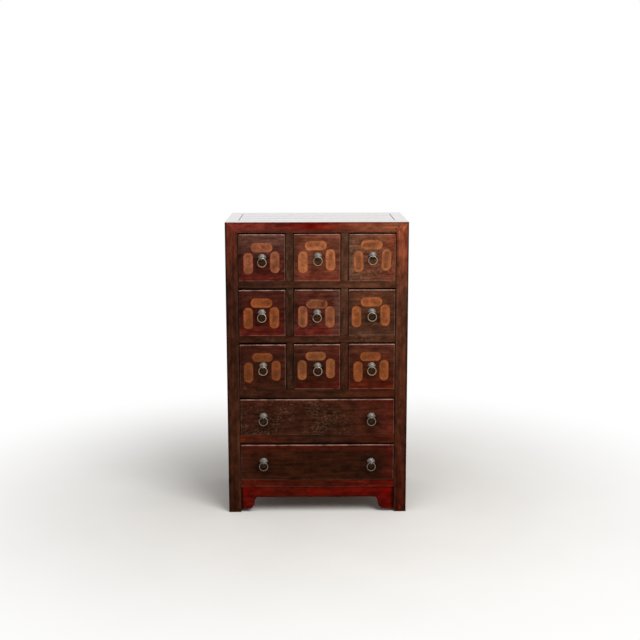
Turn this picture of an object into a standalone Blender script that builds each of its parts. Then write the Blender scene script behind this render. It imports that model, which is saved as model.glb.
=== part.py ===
"""Apothecary chest: a jointed carcass, eleven drawers and thirteen ring pulls.

Metres, +Z up. The front faces -Y and +X is on the right of someone who faces it. The origin is on
the floor under the middle of the whole chest, pulls included.
"""

import math

import bmesh
import bpy
from mathutils import Matrix, Vector
from mathutils.geometry import interpolate_bezier

# The whole chest without its pulls
WIDTH = 0.585
DEPTH = 0.362
HEIGHT = 0.961

# Rows and columns of the front; the small drawers share what the others leave
COLUMN_NAMES = ("left", "middle", "right")
PARTITION = 0.0245
WIDE_ROW = 0.1245
SMALL_RAIL = 0.023
WIDE_RAIL = 0.029
BOTTOM_RAIL = 0.024
LEG_HEIGHT = 0.086

# Rows from the floor up, and the height of the rail below each
RAILS = {
    "lower": BOTTOM_RAIL,
    "upper": WIDE_RAIL,
    "third": WIDE_RAIL,
    "second": SMALL_RAIL,
    "top": SMALL_RAIL,
}
WIDE_ROW_NAMES = ("lower", "upper")
SMALL_ROW_NAMES = ("third", "second", "top")

# Carcass
POST = 0.040
TOP_FRAME = 0.0345
TOP_RAIL_DEPTH = 0.060
TOP_PANEL = 0.016
RAIL_DEPTH = 0.030
DUST_BOARD = 0.010
GUIDE_HEIGHT = 0.018
SIDE_PANEL = 0.012
PANEL_RECESS = 0.008
EDGE_ROUND = 0.002
ROUND_STEPS = 2

# Joinery
FIT = 0.0003
TONGUE = 0.006
TONGUE_LENGTH = 0.008
TENON_LENGTH = 0.015
TENON_THICK = 0.010
TENON_INSET = 0.010
TENON_SHOULDER = 0.004
REAR_TENON_SHOULDER = 0.002
REAR_TENON_INSET = 0.006
HEAD_TENON = 0.009
HEAD_TENON_INSET = 0.005
HEAD_TENON_COVER = 0.008
LOWER_TENON_THICK = 0.008

# How far shapes that are joined into one piece reach into each other
EMBED = 0.003

# Apron
APRON_THICK = 0.018
APRON_SETBACK = 0.002
APRON_HEIGHT = 0.036
APRON_TONGUE_MARGIN = 0.020
BRACKET_REACH = 0.056
BRACKET_BELLY = 0.044
BRACKET_TOE = 0.028
BRACKET_FOOT = 0.010
BRACKET_WAIST = 0.034
BRACKET_STEPS = 6

# Drawers
DRAWER_SIDE_GAP = 0.0015
DRAWER_TOP_GAP = 0.0027
DRAWER_BACK_GAP = 0.012
DRAWER_SETBACK = 0.001
DRAWER_FRONT = 0.018
DRAWER_SIDE = 0.009
DRAWER_BACK = 0.009
DRAWER_BOTTOM = 0.007
DRAWER_SIDE_DROP = 0.004
DRAWER_FRONT_ROUND = 0.003

# Pulls
BOSS_RADIUS = 0.0130
BOSS_HEIGHT = 0.009
BOSS_STEPS = 16
BOSS_ARC_STEPS = 5
RING_OUTER_RADIUS = 0.0153
RING_WIRE_RADIUS = 0.0021
RING_SIDES = (18, 6)
RING_BOSS_GAP = 0.0008
EYE_WIRE_RADIUS = 0.0015
EYE_CLEARANCE = 0.0004
EYE_SIDES = (12, 6)
SHANK_RADIUS = 0.0019
SHANK_SIDES = 8
LEG_LENGTH = 0.012
LEG_WIDTH = 0.003
LEG_THICK = 0.0016

# How far the maker's hand set each pull off its place on the drawer front: across, and up
PULL_SHIFTS = {
    "top_left": (0.0012, -0.0016),
    "top_middle": (0.0026, 0.0028),
    "top_right": (0.0009, 0.0052),
    "second_left": (-0.0011, -0.0024),
    "second_middle": (0.0, -0.0025),
    "third_left": (0.0011, 0.0008),
    "third_middle": (0.0016, -0.0005),
    "upper_left": (0.0007, 0.0010),
    "lower_left": (0.0, 0.0016),
}

# Sizes that follow from those above
COLUMNS = len(COLUMN_NAMES)
OPENING_WIDTH = WIDTH - 2 * POST
COLUMN_WIDTH = (OPENING_WIDTH - (COLUMNS - 1) * PARTITION) / COLUMNS
COLUMN_PITCH = COLUMN_WIDTH + PARTITION
FRAME_BASE = HEIGHT - TOP_FRAME
ROW_SPACE = FRAME_BASE - LEG_HEIGHT - sum(RAILS.values())
SMALL_ROW = (ROW_SPACE - len(WIDE_ROW_NAMES) * WIDE_ROW) / len(SMALL_ROW_NAMES)
RING_RADIUS = RING_OUTER_RADIUS - RING_WIRE_RADIUS
EYE_RADIUS = RING_WIRE_RADIUS + EYE_CLEARANCE + EYE_WIRE_RADIUS
EYE_STANDOFF = FIT + BOSS_HEIGHT + RING_BOSS_GAP + RING_WIRE_RADIUS
PULL_REACH = EYE_STANDOFF + EYE_RADIUS + EYE_WIRE_RADIUS - DRAWER_SETBACK
FRONT = (PULL_REACH - DEPTH) / 2
BACK = FRONT + DEPTH
MIDDLE = (FRONT + BACK) / 2
PANEL_INNER = PANEL_RECESS + SIDE_PANEL
TONGUE_NEAR = PANEL_RECESS + (SIDE_PANEL - TONGUE) / 2
TONGUE_FAR = TONGUE_NEAR + TONGUE
DRAWER_LENGTH = DEPTH - DRAWER_SETBACK - DRAWER_BACK_GAP - PANEL_INNER
SMALL_DRAWER_WIDTH = COLUMN_WIDTH - 2 * DRAWER_SIDE_GAP
WIDE_DRAWER_WIDTH = OPENING_WIDTH - 2 * DRAWER_SIDE_GAP
SMALL_DRAWER_HEIGHT = SMALL_ROW - DRAWER_TOP_GAP - FIT
WIDE_DRAWER_HEIGHT = WIDE_ROW - DRAWER_TOP_GAP - FIT
PARTITION_XS = [(i - COLUMNS / 2) * COLUMN_PITCH for i in range(1, COLUMNS)]
COLUMN_XS = [(i - (COLUMNS - 1) / 2) * COLUMN_PITCH for i in range(COLUMNS)]

LEFT, RIGHT = -1, 1
FRONT_END, BACK_END = -1, 1
SIDE_NAMES = {LEFT: "left", RIGHT: "right"}
END_NAMES = {FRONT_END: "front", BACK_END: "back"}


def stack_rows():
    """Return the level each row's drawers stand on."""
    levels = {}
    level = LEG_HEIGHT
    for name, rail in RAILS.items():
        levels[name] = level + rail
        level += rail + (WIDE_ROW if name in WIDE_ROW_NAMES else SMALL_ROW)
    return levels


REST = stack_rows()


def clear_scene():
    """Remove every object and collection, then return the parts and cutters collections."""
    for old in list(bpy.data.objects):
        bpy.data.objects.remove(old, do_unlink=True)
    for old in list(bpy.data.collections):
        bpy.data.collections.remove(old)
    made = []
    for name in ("apothecary_chest", "cutters"):
        collection = bpy.data.collections.new(name)
        bpy.context.scene.collection.children.link(collection)
        made.append(collection)
    return made


PARTS, CUTTERS = clear_scene()


def finish(name, colour, roughness, metallic=0.0):
    """Return a Principled material of one colour."""
    material = bpy.data.materials.new(name)
    material.use_nodes = True
    shader = material.node_tree.nodes["Principled BSDF"]
    shader.inputs["Base Color"].default_value = (*colour, 1.0)
    shader.inputs["Roughness"].default_value = roughness
    shader.inputs["Metallic"].default_value = metallic
    return material


FRAME_LACQUER = finish("frame_lacquer", (0.060, 0.012, 0.008), 0.25)
TOP_LACQUER = finish("top_lacquer", (0.050, 0.014, 0.010), 0.18)
DRAWER_LACQUER = finish("drawer_lacquer", (0.070, 0.016, 0.011), 0.30)
APRON_LACQUER = finish("apron_lacquer", (0.110, 0.006, 0.005), 0.30)
BARE_WOOD = finish("bare_wood", (0.260, 0.150, 0.080), 0.70)
BOSS_IRON = finish("boss_iron", (0.300, 0.300, 0.290), 0.40, 1.0)
RING_IRON = finish("ring_iron", (0.330, 0.290, 0.240), 0.42, 1.0)


def block(xs, ys, zs):
    """Return the two corners of a box from its three ranges."""
    low, high = zip(xs, ys, zs)
    return Vector(low), Vector(high)


def grown(corners, gap=FIT):
    """Return a box that is larger by a gap on every side."""
    margin = Vector((gap, gap, gap))
    return corners[0] - margin, corners[1] + margin


def across(side, near, far):
    """Return an X range from distances measured inward from the left or right outer face."""
    return tuple(sorted((side * (WIDTH / 2 - near), side * (WIDTH / 2 - far))))


def along(end, near, far):
    """Return a Y range from distances measured inward from the front or back face."""
    face = FRONT if end == FRONT_END else BACK
    return tuple(sorted((face - end * near, face - end * far)))


def between(half_width):
    """Return an X range that is centred on the chest."""
    return -half_width, half_width


def add_box(mesh, corners):
    """Add a box to a bmesh."""
    low, high = corners
    place = Matrix.Translation((low + high) / 2) @ Matrix.Diagonal((*(high - low), 1.0))
    bmesh.ops.create_cube(mesh, size=1.0, matrix=place)


def box_mesh(*boxes):
    """Return a bmesh of one or more boxes."""
    mesh = bmesh.new()
    for corners in boxes:
        add_box(mesh, corners)
    return mesh


def round_edges(mesh, radius, chosen):
    """Round the edges for which the given test is true."""
    edges = [edge for edge in mesh.edges if chosen(edge)]
    bmesh.ops.bevel(
        mesh, geom=edges, offset=radius, segments=ROUND_STEPS, profile=0.5, affect="EDGES"
    )


def runs_along(edge, axis):
    """Tell whether an edge is parallel to one axis."""
    step = edge.verts[1].co - edge.verts[0].co
    return abs(step[axis]) > 0.9 * step.length


def at_front(edge):
    """Tell whether an edge lies on the foremost face of its mesh."""
    foremost = min(corner.co.y for face in edge.link_faces for corner in face.verts)
    return all(abs(corner.co.y - foremost) < 1e-6 for corner in edge.verts)


def slice_off(mesh, point, normal):
    """Cut away what lies on the normal's side of a plane, and close the cut."""
    everything = mesh.verts[:] + mesh.edges[:] + mesh.faces[:]
    cut = bmesh.ops.bisect_plane(
        mesh, geom=everything, dist=1e-7, plane_co=point, plane_no=normal, clear_outer=True
    )
    rim = [item for item in cut["geom_cut"] if isinstance(item, bmesh.types.BMEdge)]
    bmesh.ops.edgeloop_fill(mesh, edges=rim)
    bmesh.ops.recalc_face_normals(mesh, faces=mesh.faces[:])


def make_object(name, mesh, collection, origin=Vector()):
    """Turn a bmesh into an object whose origin is at the given point."""
    bmesh.ops.translate(mesh, verts=mesh.verts[:], vec=-origin)
    data = bpy.data.meshes.new(name)
    mesh.to_mesh(data)
    mesh.free()
    made = bpy.data.objects.new(name, data)
    made.location = origin
    collection.objects.link(made)
    return made


def make_part(name, mesh, material):
    """Add a fixed part whose origin is at the middle of its box."""
    corners = [corner.co.copy() for corner in mesh.verts]
    low = Vector(min(co[axis] for co in corners) for axis in range(3))
    high = Vector(max(co[axis] for co in corners) for axis in range(3))
    part = make_object(name, mesh, PARTS, (low + high) / 2)
    part.data.materials.append(material)
    return part


def combine(part, mesh, operation):
    """Unite a part with a bmesh, or cut the bmesh out of it."""
    count = len(part.modifiers)
    tool = make_object(f"{part.name}_{operation.lower()}_{count}", mesh, CUTTERS)
    tool.hide_render = True
    tool.display_type = "WIRE"
    modifier = part.modifiers.new(tool.name, "BOOLEAN")
    modifier.operation = operation
    modifier.solver = "EXACT"
    modifier.object = tool


def unite(part, *boxes):
    """Join boxes to a part."""
    combine(part, box_mesh(*boxes), "UNION")


def subtract(part, *boxes):
    """Cut boxes out of a part."""
    combine(part, box_mesh(*boxes), "DIFFERENCE")


def baked(part):
    """Return a part's finished mesh, and remove the part and its cutters."""
    bpy.context.view_layer.update()
    evaluated = part.evaluated_get(bpy.context.evaluated_depsgraph_get())
    mesh = bpy.data.meshes.new_from_object(evaluated)
    tools = [modifier.object for modifier in part.modifiers if modifier.type == "BOOLEAN"]
    for item in tools + [part]:
        bpy.data.objects.remove(item, do_unlink=True)
    return mesh


def shade_smooth(mesh, angle=math.radians(40)):
    """Shade a mesh smooth, apart from its sharp edges."""
    mesh.shade_smooth()
    mesh.set_sharp_from_angle(angle=angle)


def post_block(side, end):
    """Return the box of a corner post."""
    return block(across(side, 0, POST), along(end, 0, POST), (0, HEIGHT))


def head_tenons(side, end):
    """Return the two tenons on a post's head, one for the rail and one for the end of the frame."""
    near = (HEAD_TENON_INSET, HEAD_TENON_INSET + HEAD_TENON)
    far = (POST - HEAD_TENON_INSET - HEAD_TENON, POST - HEAD_TENON_INSET)
    heights = (FRAME_BASE - EMBED, HEIGHT - HEAD_TENON_COVER)
    for_rail = block(across(side, *far), along(end, *near), heights)
    for_end = block(across(side, *near), along(end, *far), heights)
    return for_rail, for_end


def mitre_head(mesh, side, end, gap=0.0):
    """Slice a post's head so that it shows a mitre on the front and on the side."""
    corner = Vector((across(side, 0, 0)[0], along(end, 0, 0)[0], HEIGHT))
    for lean in (Vector((-side / POST, 0, 1 / TOP_FRAME)), Vector((0, -end / POST, 1 / TOP_FRAME))):
        normal = lean.normalized()
        slice_off(mesh, corner + gap * normal, normal)


def shelf_tenon(name, rail, side):
    """Return the tenon of a front rail in a front post."""
    xs = across(side, POST - TENON_LENGTH, POST + EMBED)
    ys = along(FRONT_END, TENON_INSET, TENON_INSET + TENON_THICK)
    return block(xs, ys, (REST[name] - rail + TENON_SHOULDER, REST[name] - TENON_SHOULDER))


def shelf_rear_tenon(name, side):
    """Return the tenon of a dust board in a back post."""
    xs = across(side, POST - TENON_LENGTH, POST + EMBED)
    ys = along(BACK_END, POST - REAR_TENON_INSET - TENON_THICK, POST - REAR_TENON_INSET)
    low = REST[name] - DUST_BOARD + REAR_TENON_SHOULDER
    return block(xs, ys, (low, REST[name] - REAR_TENON_SHOULDER))


def lower_rail_tenon_heights():
    """Return the Z range of a lower rail's tenon, which stays below the panel groove."""
    top = LEG_HEIGHT + BOTTOM_RAIL - TONGUE_LENGTH - FIT - EMBED
    return LEG_HEIGHT + TENON_SHOULDER, top


def side_rail_tenon(side, end):
    """Return the tenon of a lower side rail in a post."""
    ys = along(end, POST - TENON_LENGTH, POST + EMBED)
    middle = PANEL_INNER / 2
    half = LOWER_TENON_THICK / 2
    xs = across(side, middle - half, middle + half)
    return block(xs, ys, lower_rail_tenon_heights())


def back_rail_tenon(side):
    """Return the tenon of the lower back rail in a back post."""
    xs = across(side, POST - TENON_LENGTH, POST + EMBED)
    middle = PANEL_INNER / 2
    half = LOWER_TENON_THICK / 2
    ys = along(BACK_END, middle - half, middle + half)
    return block(xs, ys, lower_rail_tenon_heights())


def panel_heights(reach):
    """Return the Z range of the side and back panels, which reach into the rails above and below."""
    return LEG_HEIGHT + BOTTOM_RAIL - reach, FRAME_BASE + reach


def side_panel_tongue(side):
    """Return the tongue that runs around a side panel."""
    reach = POST - TONGUE_LENGTH
    ys = (FRONT + reach, BACK - reach)
    return block(across(side, TONGUE_NEAR, TONGUE_FAR), ys, panel_heights(TONGUE_LENGTH))


def back_panel_tongue():
    """Return the tongue that runs around the back panel."""
    xs = between(WIDTH / 2 - POST + TONGUE_LENGTH)
    return block(xs, along(BACK_END, TONGUE_NEAR, TONGUE_FAR), panel_heights(TONGUE_LENGTH))


def make_post(side, end):
    """Make one corner post with its mitred head, tenons, mortises and grooves."""
    mesh = box_mesh(post_block(side, end))
    round_edges(mesh, EDGE_ROUND, lambda edge: runs_along(edge, 2))
    mitre_head(mesh, side, end)
    post = make_part(f"post_{END_NAMES[end]}_{SIDE_NAMES[side]}", mesh, FRAME_LACQUER)
    for tenon in head_tenons(side, end):
        unite(post, tenon)
    mortises = [side_rail_tenon(side, end)]
    if end == FRONT_END:
        mortises += [shelf_tenon(name, rail, side) for name, rail in RAILS.items()]
    else:
        mortises += [shelf_rear_tenon(name, side) for name in RAILS]
        mortises.append(back_rail_tenon(side))
        subtract(post, grown(back_panel_tongue()))
    subtract(post, grown(side_panel_tongue(side)))
    subtract(post, *(grown(mortise) for mortise in mortises))


def cut_for_posts(part, posts):
    """Cut a top frame member to fit the mitred heads and the tenons of the posts it meets."""
    for side, end in posts:
        head = box_mesh(grown(post_block(side, end)))
        mitre_head(head, side, end, FIT)
        combine(part, head, "DIFFERENCE")
        for tenon in head_tenons(side, end):
            subtract(part, grown(tenon))


def slice_frame_mitre(mesh, side, end, keep_rail):
    """Slice the end of a top frame member along the mitre that shows on the top face."""
    corner = Vector((across(side, 0, 0)[0], along(end, 0, 0)[0], 0))
    rail_side = Vector((-side / POST, end / TOP_RAIL_DEPTH, 0)).normalized()
    normal = -rail_side if keep_rail else rail_side
    slice_off(mesh, corner - normal * FIT / 2, normal)


def top_panel_tongue():
    """Return the tongue that runs around the top panel."""
    xs = between(WIDTH / 2 - POST + TONGUE_LENGTH)
    ys = (FRONT + TOP_RAIL_DEPTH - TONGUE_LENGTH, BACK - TOP_RAIL_DEPTH + TONGUE_LENGTH)
    low = HEIGHT - TOP_PANEL
    return block(xs, ys, (low, low + TONGUE))


def partition_tenon(x, low, high):
    """Return a partition's tenon in the rail below or above it."""
    half = PARTITION / 2 - TENON_SHOULDER
    ys = along(FRONT_END, TENON_INSET, TENON_INSET + TENON_THICK)
    return block((x - half, x + half), ys, (low, high))


def partition_foot(x):
    """Return a partition's lower tenon."""
    floor = REST[SMALL_ROW_NAMES[0]]
    return partition_tenon(x, floor - TENON_LENGTH, floor + EMBED)


def partition_head(x):
    """Return a partition's upper tenon."""
    return partition_tenon(x, FRAME_BASE - EMBED, FRAME_BASE + TENON_LENGTH)


def make_top_rail(end):
    """Make the front or back rail of the top frame."""
    heights = (FRAME_BASE, HEIGHT)
    mesh = box_mesh(block(between(WIDTH / 2), along(end, 0, TOP_RAIL_DEPTH), heights))
    outer = along(end, 0, 0)[0]
    round_edges(
        mesh,
        EDGE_ROUND,
        lambda edge: runs_along(edge, 0) and abs(edge.verts[0].co.y - outer) < 1e-6,
    )
    for side in (LEFT, RIGHT):
        slice_frame_mitre(mesh, side, end, keep_rail=True)
    rail = make_part(f"top_rail_{END_NAMES[end]}", mesh, FRAME_LACQUER)
    cut_for_posts(rail, [(LEFT, end), (RIGHT, end)])
    subtract(rail, grown(top_panel_tongue()))
    if end == FRONT_END:
        subtract(rail, *(grown(partition_head(x)) for x in PARTITION_XS))
    else:
        subtract(rail, grown(back_panel_tongue()))
    for side in (LEFT, RIGHT):
        subtract(rail, grown(side_panel_tongue(side)))


def make_top_end(side):
    """Make the left or right member of the top frame."""
    heights = (FRAME_BASE, HEIGHT)
    mesh = box_mesh(block(across(side, 0, POST), (FRONT, BACK), heights))
    outer = across(side, 0, 0)[0]
    round_edges(
        mesh,
        EDGE_ROUND,
        lambda edge: runs_along(edge, 1) and abs(edge.verts[0].co.x - outer) < 1e-6,
    )
    for end in (FRONT_END, BACK_END):
        slice_frame_mitre(mesh, side, end, keep_rail=False)
    member = make_part(f"top_end_{SIDE_NAMES[side]}", mesh, FRAME_LACQUER)
    cut_for_posts(member, [(side, FRONT_END), (side, BACK_END)])
    subtract(member, grown(top_panel_tongue()))
    subtract(member, grown(side_panel_tongue(side)))


def make_top_panel():
    """Make the panel that lies flush in the top frame."""
    xs = between(WIDTH / 2 - POST - FIT)
    ys = (FRONT + TOP_RAIL_DEPTH + FIT, BACK - TOP_RAIL_DEPTH - FIT)
    mesh = box_mesh(block(xs, ys, (HEIGHT - TOP_PANEL, HEIGHT)))
    panel = make_part("top_panel", mesh, TOP_LACQUER)
    unite(panel, top_panel_tongue())


def make_side_panel(side):
    """Make a side panel with a tongue in the posts and rails around it."""
    ys = (FRONT + POST + FIT, BACK - POST - FIT)
    field = block(across(side, PANEL_RECESS, PANEL_INNER), ys, panel_heights(-FIT))
    panel = make_part(f"side_panel_{SIDE_NAMES[side]}", box_mesh(field), FRAME_LACQUER)
    unite(panel, side_panel_tongue(side))


def make_back_panel():
    """Make the back panel with a tongue in the posts and rails around it."""
    xs = between(WIDTH / 2 - POST - FIT)
    field = block(xs, along(BACK_END, PANEL_RECESS, PANEL_INNER), panel_heights(-FIT))
    panel = make_part("back_panel", box_mesh(field), BARE_WOOD)
    unite(panel, back_panel_tongue())


def make_lower_side_rail(side):
    """Make the rail under a side panel."""
    ys = (FRONT + POST + FIT, BACK - POST - FIT)
    body = block(across(side, 0, PANEL_INNER), ys, (LEG_HEIGHT, LEG_HEIGHT + BOTTOM_RAIL))
    rail = make_part(f"lower_rail_{SIDE_NAMES[side]}", box_mesh(body), FRAME_LACQUER)
    unite(rail, *(side_rail_tenon(side, end) for end in (FRONT_END, BACK_END)))
    subtract(rail, grown(side_panel_tongue(side)))


def make_lower_back_rail():
    """Make the rail under the back panel."""
    xs = between(WIDTH / 2 - POST - FIT)
    heights = (LEG_HEIGHT, LEG_HEIGHT + BOTTOM_RAIL)
    body = block(xs, along(BACK_END, 0, PANEL_INNER), heights)
    rail = make_part("lower_rail_back", box_mesh(body), FRAME_LACQUER)
    unite(rail, *(back_rail_tenon(side) for side in (LEFT, RIGHT)))
    subtract(rail, grown(back_panel_tongue()))


def guide(name, side):
    """Return the strip that guides the drawers at one end of a dust board."""
    ys = (FRONT + POST + FIT, BACK - POST - FIT)
    heights = (REST[name] - EMBED, REST[name] + GUIDE_HEIGHT)
    return block(across(side, PANEL_INNER + FIT, POST), ys, heights)


def apron_tongue():
    """Return the tongue along the apron's top edge."""
    xs = between(OPENING_WIDTH / 2 - APRON_TONGUE_MARGIN)
    near = APRON_SETBACK + (APRON_THICK - TONGUE) / 2
    ys = along(FRONT_END, near, near + TONGUE)
    return block(xs, ys, (LEG_HEIGHT - EMBED, LEG_HEIGHT + TONGUE_LENGTH))


def make_shelf(name, rail):
    """Make a front rail with its dust board and the guides at both ends."""
    floor = REST[name]
    xs = between(WIDTH / 2 - PANEL_INNER - FIT)
    mesh = box_mesh(block(xs, (FRONT, BACK - PANEL_INNER - FIT), (floor - rail, floor)))
    round_edges(mesh, EDGE_ROUND, lambda edge: runs_along(edge, 0) and at_front(edge))
    shelf = make_part(f"shelf_{name}", mesh, FRAME_LACQUER)
    under = (floor - rail - EMBED, floor - DUST_BOARD)
    subtract(shelf, block(between(WIDTH), (FRONT + RAIL_DEPTH, BACK), under))
    posts = [(side, end) for side in (LEFT, RIGHT) for end in (FRONT_END, BACK_END)]
    subtract(shelf, *(grown(post_block(*post)) for post in posts))
    unite(shelf, *(guide(name, side) for side in (LEFT, RIGHT)))
    unite(shelf, *(shelf_tenon(name, rail, side) for side in (LEFT, RIGHT)))
    unite(shelf, *(shelf_rear_tenon(name, side) for side in (LEFT, RIGHT)))
    if name == WIDE_ROW_NAMES[0]:
        subtract(shelf, grown(apron_tongue()))
    if name == SMALL_ROW_NAMES[0]:
        subtract(shelf, *(grown(partition_foot(x)) for x in PARTITION_XS))
    elif name in SMALL_ROW_NAMES:
        half = PARTITION / 2 + FIT
        heights = (floor - rail - EMBED, floor + EMBED)
        slots = [block((x - half, x + half), (MIDDLE - FIT, BACK), heights) for x in PARTITION_XS]
        subtract(shelf, *slots)


def make_partition(name, x):
    """Make an upright board between two columns, halved over the shelves that it crosses."""
    half = PARTITION / 2
    heights = (REST[SMALL_ROW_NAMES[0]] + FIT, FRAME_BASE - FIT)
    mesh = box_mesh(block((x - half, x + half), (FRONT, BACK - PANEL_INNER - FIT), heights))
    round_edges(mesh, EDGE_ROUND, lambda edge: runs_along(edge, 2) and at_front(edge))
    partition = make_part(f"partition_{name}", mesh, FRAME_LACQUER)
    unite(partition, partition_foot(x), partition_head(x))
    xs = (x - PARTITION, x + PARTITION)
    at_board = (FRONT - EMBED, MIDDLE)
    at_rail = (FRONT - EMBED, FRONT + RAIL_DEPTH + FIT)
    for row in SMALL_ROW_NAMES[1:]:
        floor = REST[row]
        subtract(partition, block(xs, at_board, (floor - DUST_BOARD - FIT, floor + FIT)))
        subtract(partition, block(xs, at_rail, (floor - SMALL_RAIL - FIT, floor + FIT)))


def bracket_curve():
    """Return the right bracket's edge from its toe up to the apron's straight underside."""
    end = OPENING_WIDTH / 2
    base = LEG_HEIGHT - APRON_HEIGHT
    toe = Vector((end - BRACKET_TOE, BRACKET_FOOT))
    belly = Vector((end - BRACKET_BELLY, BRACKET_WAIST))
    reach = Vector((end - BRACKET_REACH, base))
    flat = Vector(((BRACKET_BELLY - BRACKET_TOE) / 2, 0))
    steep = Vector((0, (BRACKET_WAIST - BRACKET_FOOT) / 2))
    soft = Vector(((BRACKET_REACH - BRACKET_BELLY) / 2, 0))
    rise = Vector((0, (base - BRACKET_WAIST) / 2))
    lower = interpolate_bezier(toe, toe - flat, belly - steep, belly, BRACKET_STEPS)
    upper = interpolate_bezier(belly, belly + rise, reach + soft, reach, BRACKET_STEPS)
    return lower + upper[1:]


def apron_outline():
    """Return the apron's outline, clockwise from its top right corner."""
    end = OPENING_WIDTH / 2 - FIT
    right = [Vector((end, LEG_HEIGHT - FIT)), Vector((end, BRACKET_FOOT))] + bracket_curve()
    left = [Vector((-point.x, point.y)) for point in reversed(right)]
    return right + left


def make_apron():
    """Make the apron with its two brackets from a flat outline."""
    curve = bpy.data.curves.new("apron_outline", "CURVE")
    curve.dimensions = "2D"
    curve.fill_mode = "BOTH"
    curve.extrude = APRON_THICK / 2
    points = apron_outline()
    spline = curve.splines.new("POLY")
    spline.points.add(len(points) - 1)
    spline.use_cyclic_u = True
    for knot, point in zip(spline.points, points):
        knot.co = (*point, 0, 1)
    outline = bpy.data.objects.new("apron_outline", curve)
    PARTS.objects.link(outline)
    mesh = bmesh.new()
    mesh.from_mesh(baked(outline))
    bmesh.ops.remove_doubles(mesh, verts=mesh.verts[:], dist=1e-6)
    upright = Matrix.Rotation(math.radians(90), 4, "X")
    middle = Vector((0, FRONT + APRON_SETBACK + APRON_THICK / 2, 0))
    bmesh.ops.transform(mesh, matrix=Matrix.Translation(middle) @ upright, verts=mesh.verts[:])
    apron = make_part("apron", mesh, APRON_LACQUER)
    unite(apron, apron_tongue())


def cylinder_along_y(mesh, x, z, radius, near, far):
    """Add a closed cylinder that runs along Y."""
    turn = Matrix.Rotation(math.radians(90), 4, "X")
    place = Matrix.Translation((x, (near + far) / 2, z)) @ turn
    bmesh.ops.create_cone(
        mesh,
        cap_ends=True,
        segments=SHANK_SIDES,
        radius1=radius,
        radius2=radius,
        depth=far - near,
        matrix=place,
    )


def pull_place(label, x, height):
    """Return where a pull is set in its drawer front, from the front's lower middle."""
    across_front, up = PULL_SHIFTS.get(label, (0, 0))
    return x + across_front, height / 2 + up


def drawer_mesh(name, width, height, pulls):
    """Return a drawer with its origin at the lower middle of its front face."""
    mesh = box_mesh(block(between(width / 2), (0, DRAWER_LENGTH), (0, height)))
    round_edges(mesh, DRAWER_FRONT_ROUND, at_front)
    drawer = make_object(name, mesh, PARTS)
    inside = (DRAWER_FRONT, DRAWER_LENGTH - DRAWER_BACK)
    above = height + EMBED
    subtract(drawer, block(between(width / 2 - DRAWER_SIDE), inside, (DRAWER_BOTTOM, above)))
    behind = (DRAWER_FRONT, DRAWER_LENGTH + EMBED)
    subtract(drawer, block(between(width), behind, (height - DRAWER_SIDE_DROP, above)))
    holes = bmesh.new()
    for x, z in pulls:
        ends = (-EMBED, DRAWER_FRONT + EMBED)
        cylinder_along_y(holes, x, z, SHANK_RADIUS + FIT, *ends)
    combine(drawer, holes, "DIFFERENCE")
    mesh = baked(drawer)
    mesh.materials.clear()
    mesh.materials.append(DRAWER_LACQUER)
    return mesh


def dome_mesh():
    """Return the turned boss of a pull, with its flat back on the XZ plane, facing -Y."""
    sphere = (BOSS_RADIUS**2 + BOSS_HEIGHT**2) / (2 * BOSS_HEIGHT)
    reach = math.asin(min(BOSS_RADIUS / sphere, 1.0))
    mesh = bmesh.new()
    places = []
    for step in range(BOSS_ARC_STEPS + 1):
        turn = reach * step / BOSS_ARC_STEPS
        places.append((sphere * math.sin(turn), 0, BOSS_HEIGHT - sphere * (1 - math.cos(turn))))
    places.append((0, 0, 0))
    corners = [mesh.verts.new(place) for place in places]
    for first, second in zip(corners, corners[1:]):
        mesh.edges.new((first, second))
    profile = make_object("boss_profile", mesh, PARTS)
    screw = profile.modifiers.new("turn", "SCREW")
    screw.steps = screw.render_steps = BOSS_STEPS
    screw.use_merge_vertices = True
    screw.merge_threshold = 0.00001
    turned = bmesh.new()
    turned.from_mesh(baked(profile))
    bmesh.ops.recalc_face_normals(turned, faces=turned.faces[:])
    turn = Matrix.Rotation(math.radians(90), 4, "X")
    bmesh.ops.transform(turned, matrix=turn, verts=turned.verts[:])
    return turned


def torus_mesh(radius, wire_radius, sides):
    """Return a torus around the local Z axis."""
    bpy.ops.mesh.primitive_torus_add(
        major_radius=radius,
        minor_radius=wire_radius,
        major_segments=sides[0],
        minor_segments=sides[1],
    )
    made = bpy.context.object
    mesh = bmesh.new()
    mesh.from_mesh(made.data)
    bpy.data.objects.remove(made, do_unlink=True)
    return mesh


def pull_mesh():
    """Return a boss with its split pin: the eye in front and the two legs clinched behind.

    The origin is on the drawer's front face, in the middle of the boss.
    """
    dome = dome_mesh()
    bmesh.ops.translate(dome, verts=dome.verts[:], vec=(0, -FIT, 0))
    pull = make_object("pull", dome, PARTS)
    eye = torus_mesh(EYE_RADIUS, EYE_WIRE_RADIUS, EYE_SIDES)
    upright = Matrix.Rotation(math.radians(90), 4, "Y")
    place = Matrix.Translation((0, -EYE_STANDOFF, 0)) @ upright
    bmesh.ops.transform(eye, matrix=place, verts=eye.verts[:])
    combine(pull, eye, "UNION")
    behind = DRAWER_FRONT + FIT
    shank = bmesh.new()
    cylinder_along_y(shank, 0, 0, SHANK_RADIUS, -BOSS_HEIGHT / 2, behind + LEG_THICK / 2)
    combine(pull, shank, "UNION")
    ys = (behind, behind + LEG_THICK)
    unite(pull, block(between(LEG_WIDTH / 2), ys, between(LEG_LENGTH)))
    mesh = baked(pull)
    mesh.materials.clear()
    mesh.materials.append(BOSS_IRON)
    shade_smooth(mesh)
    return mesh


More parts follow.
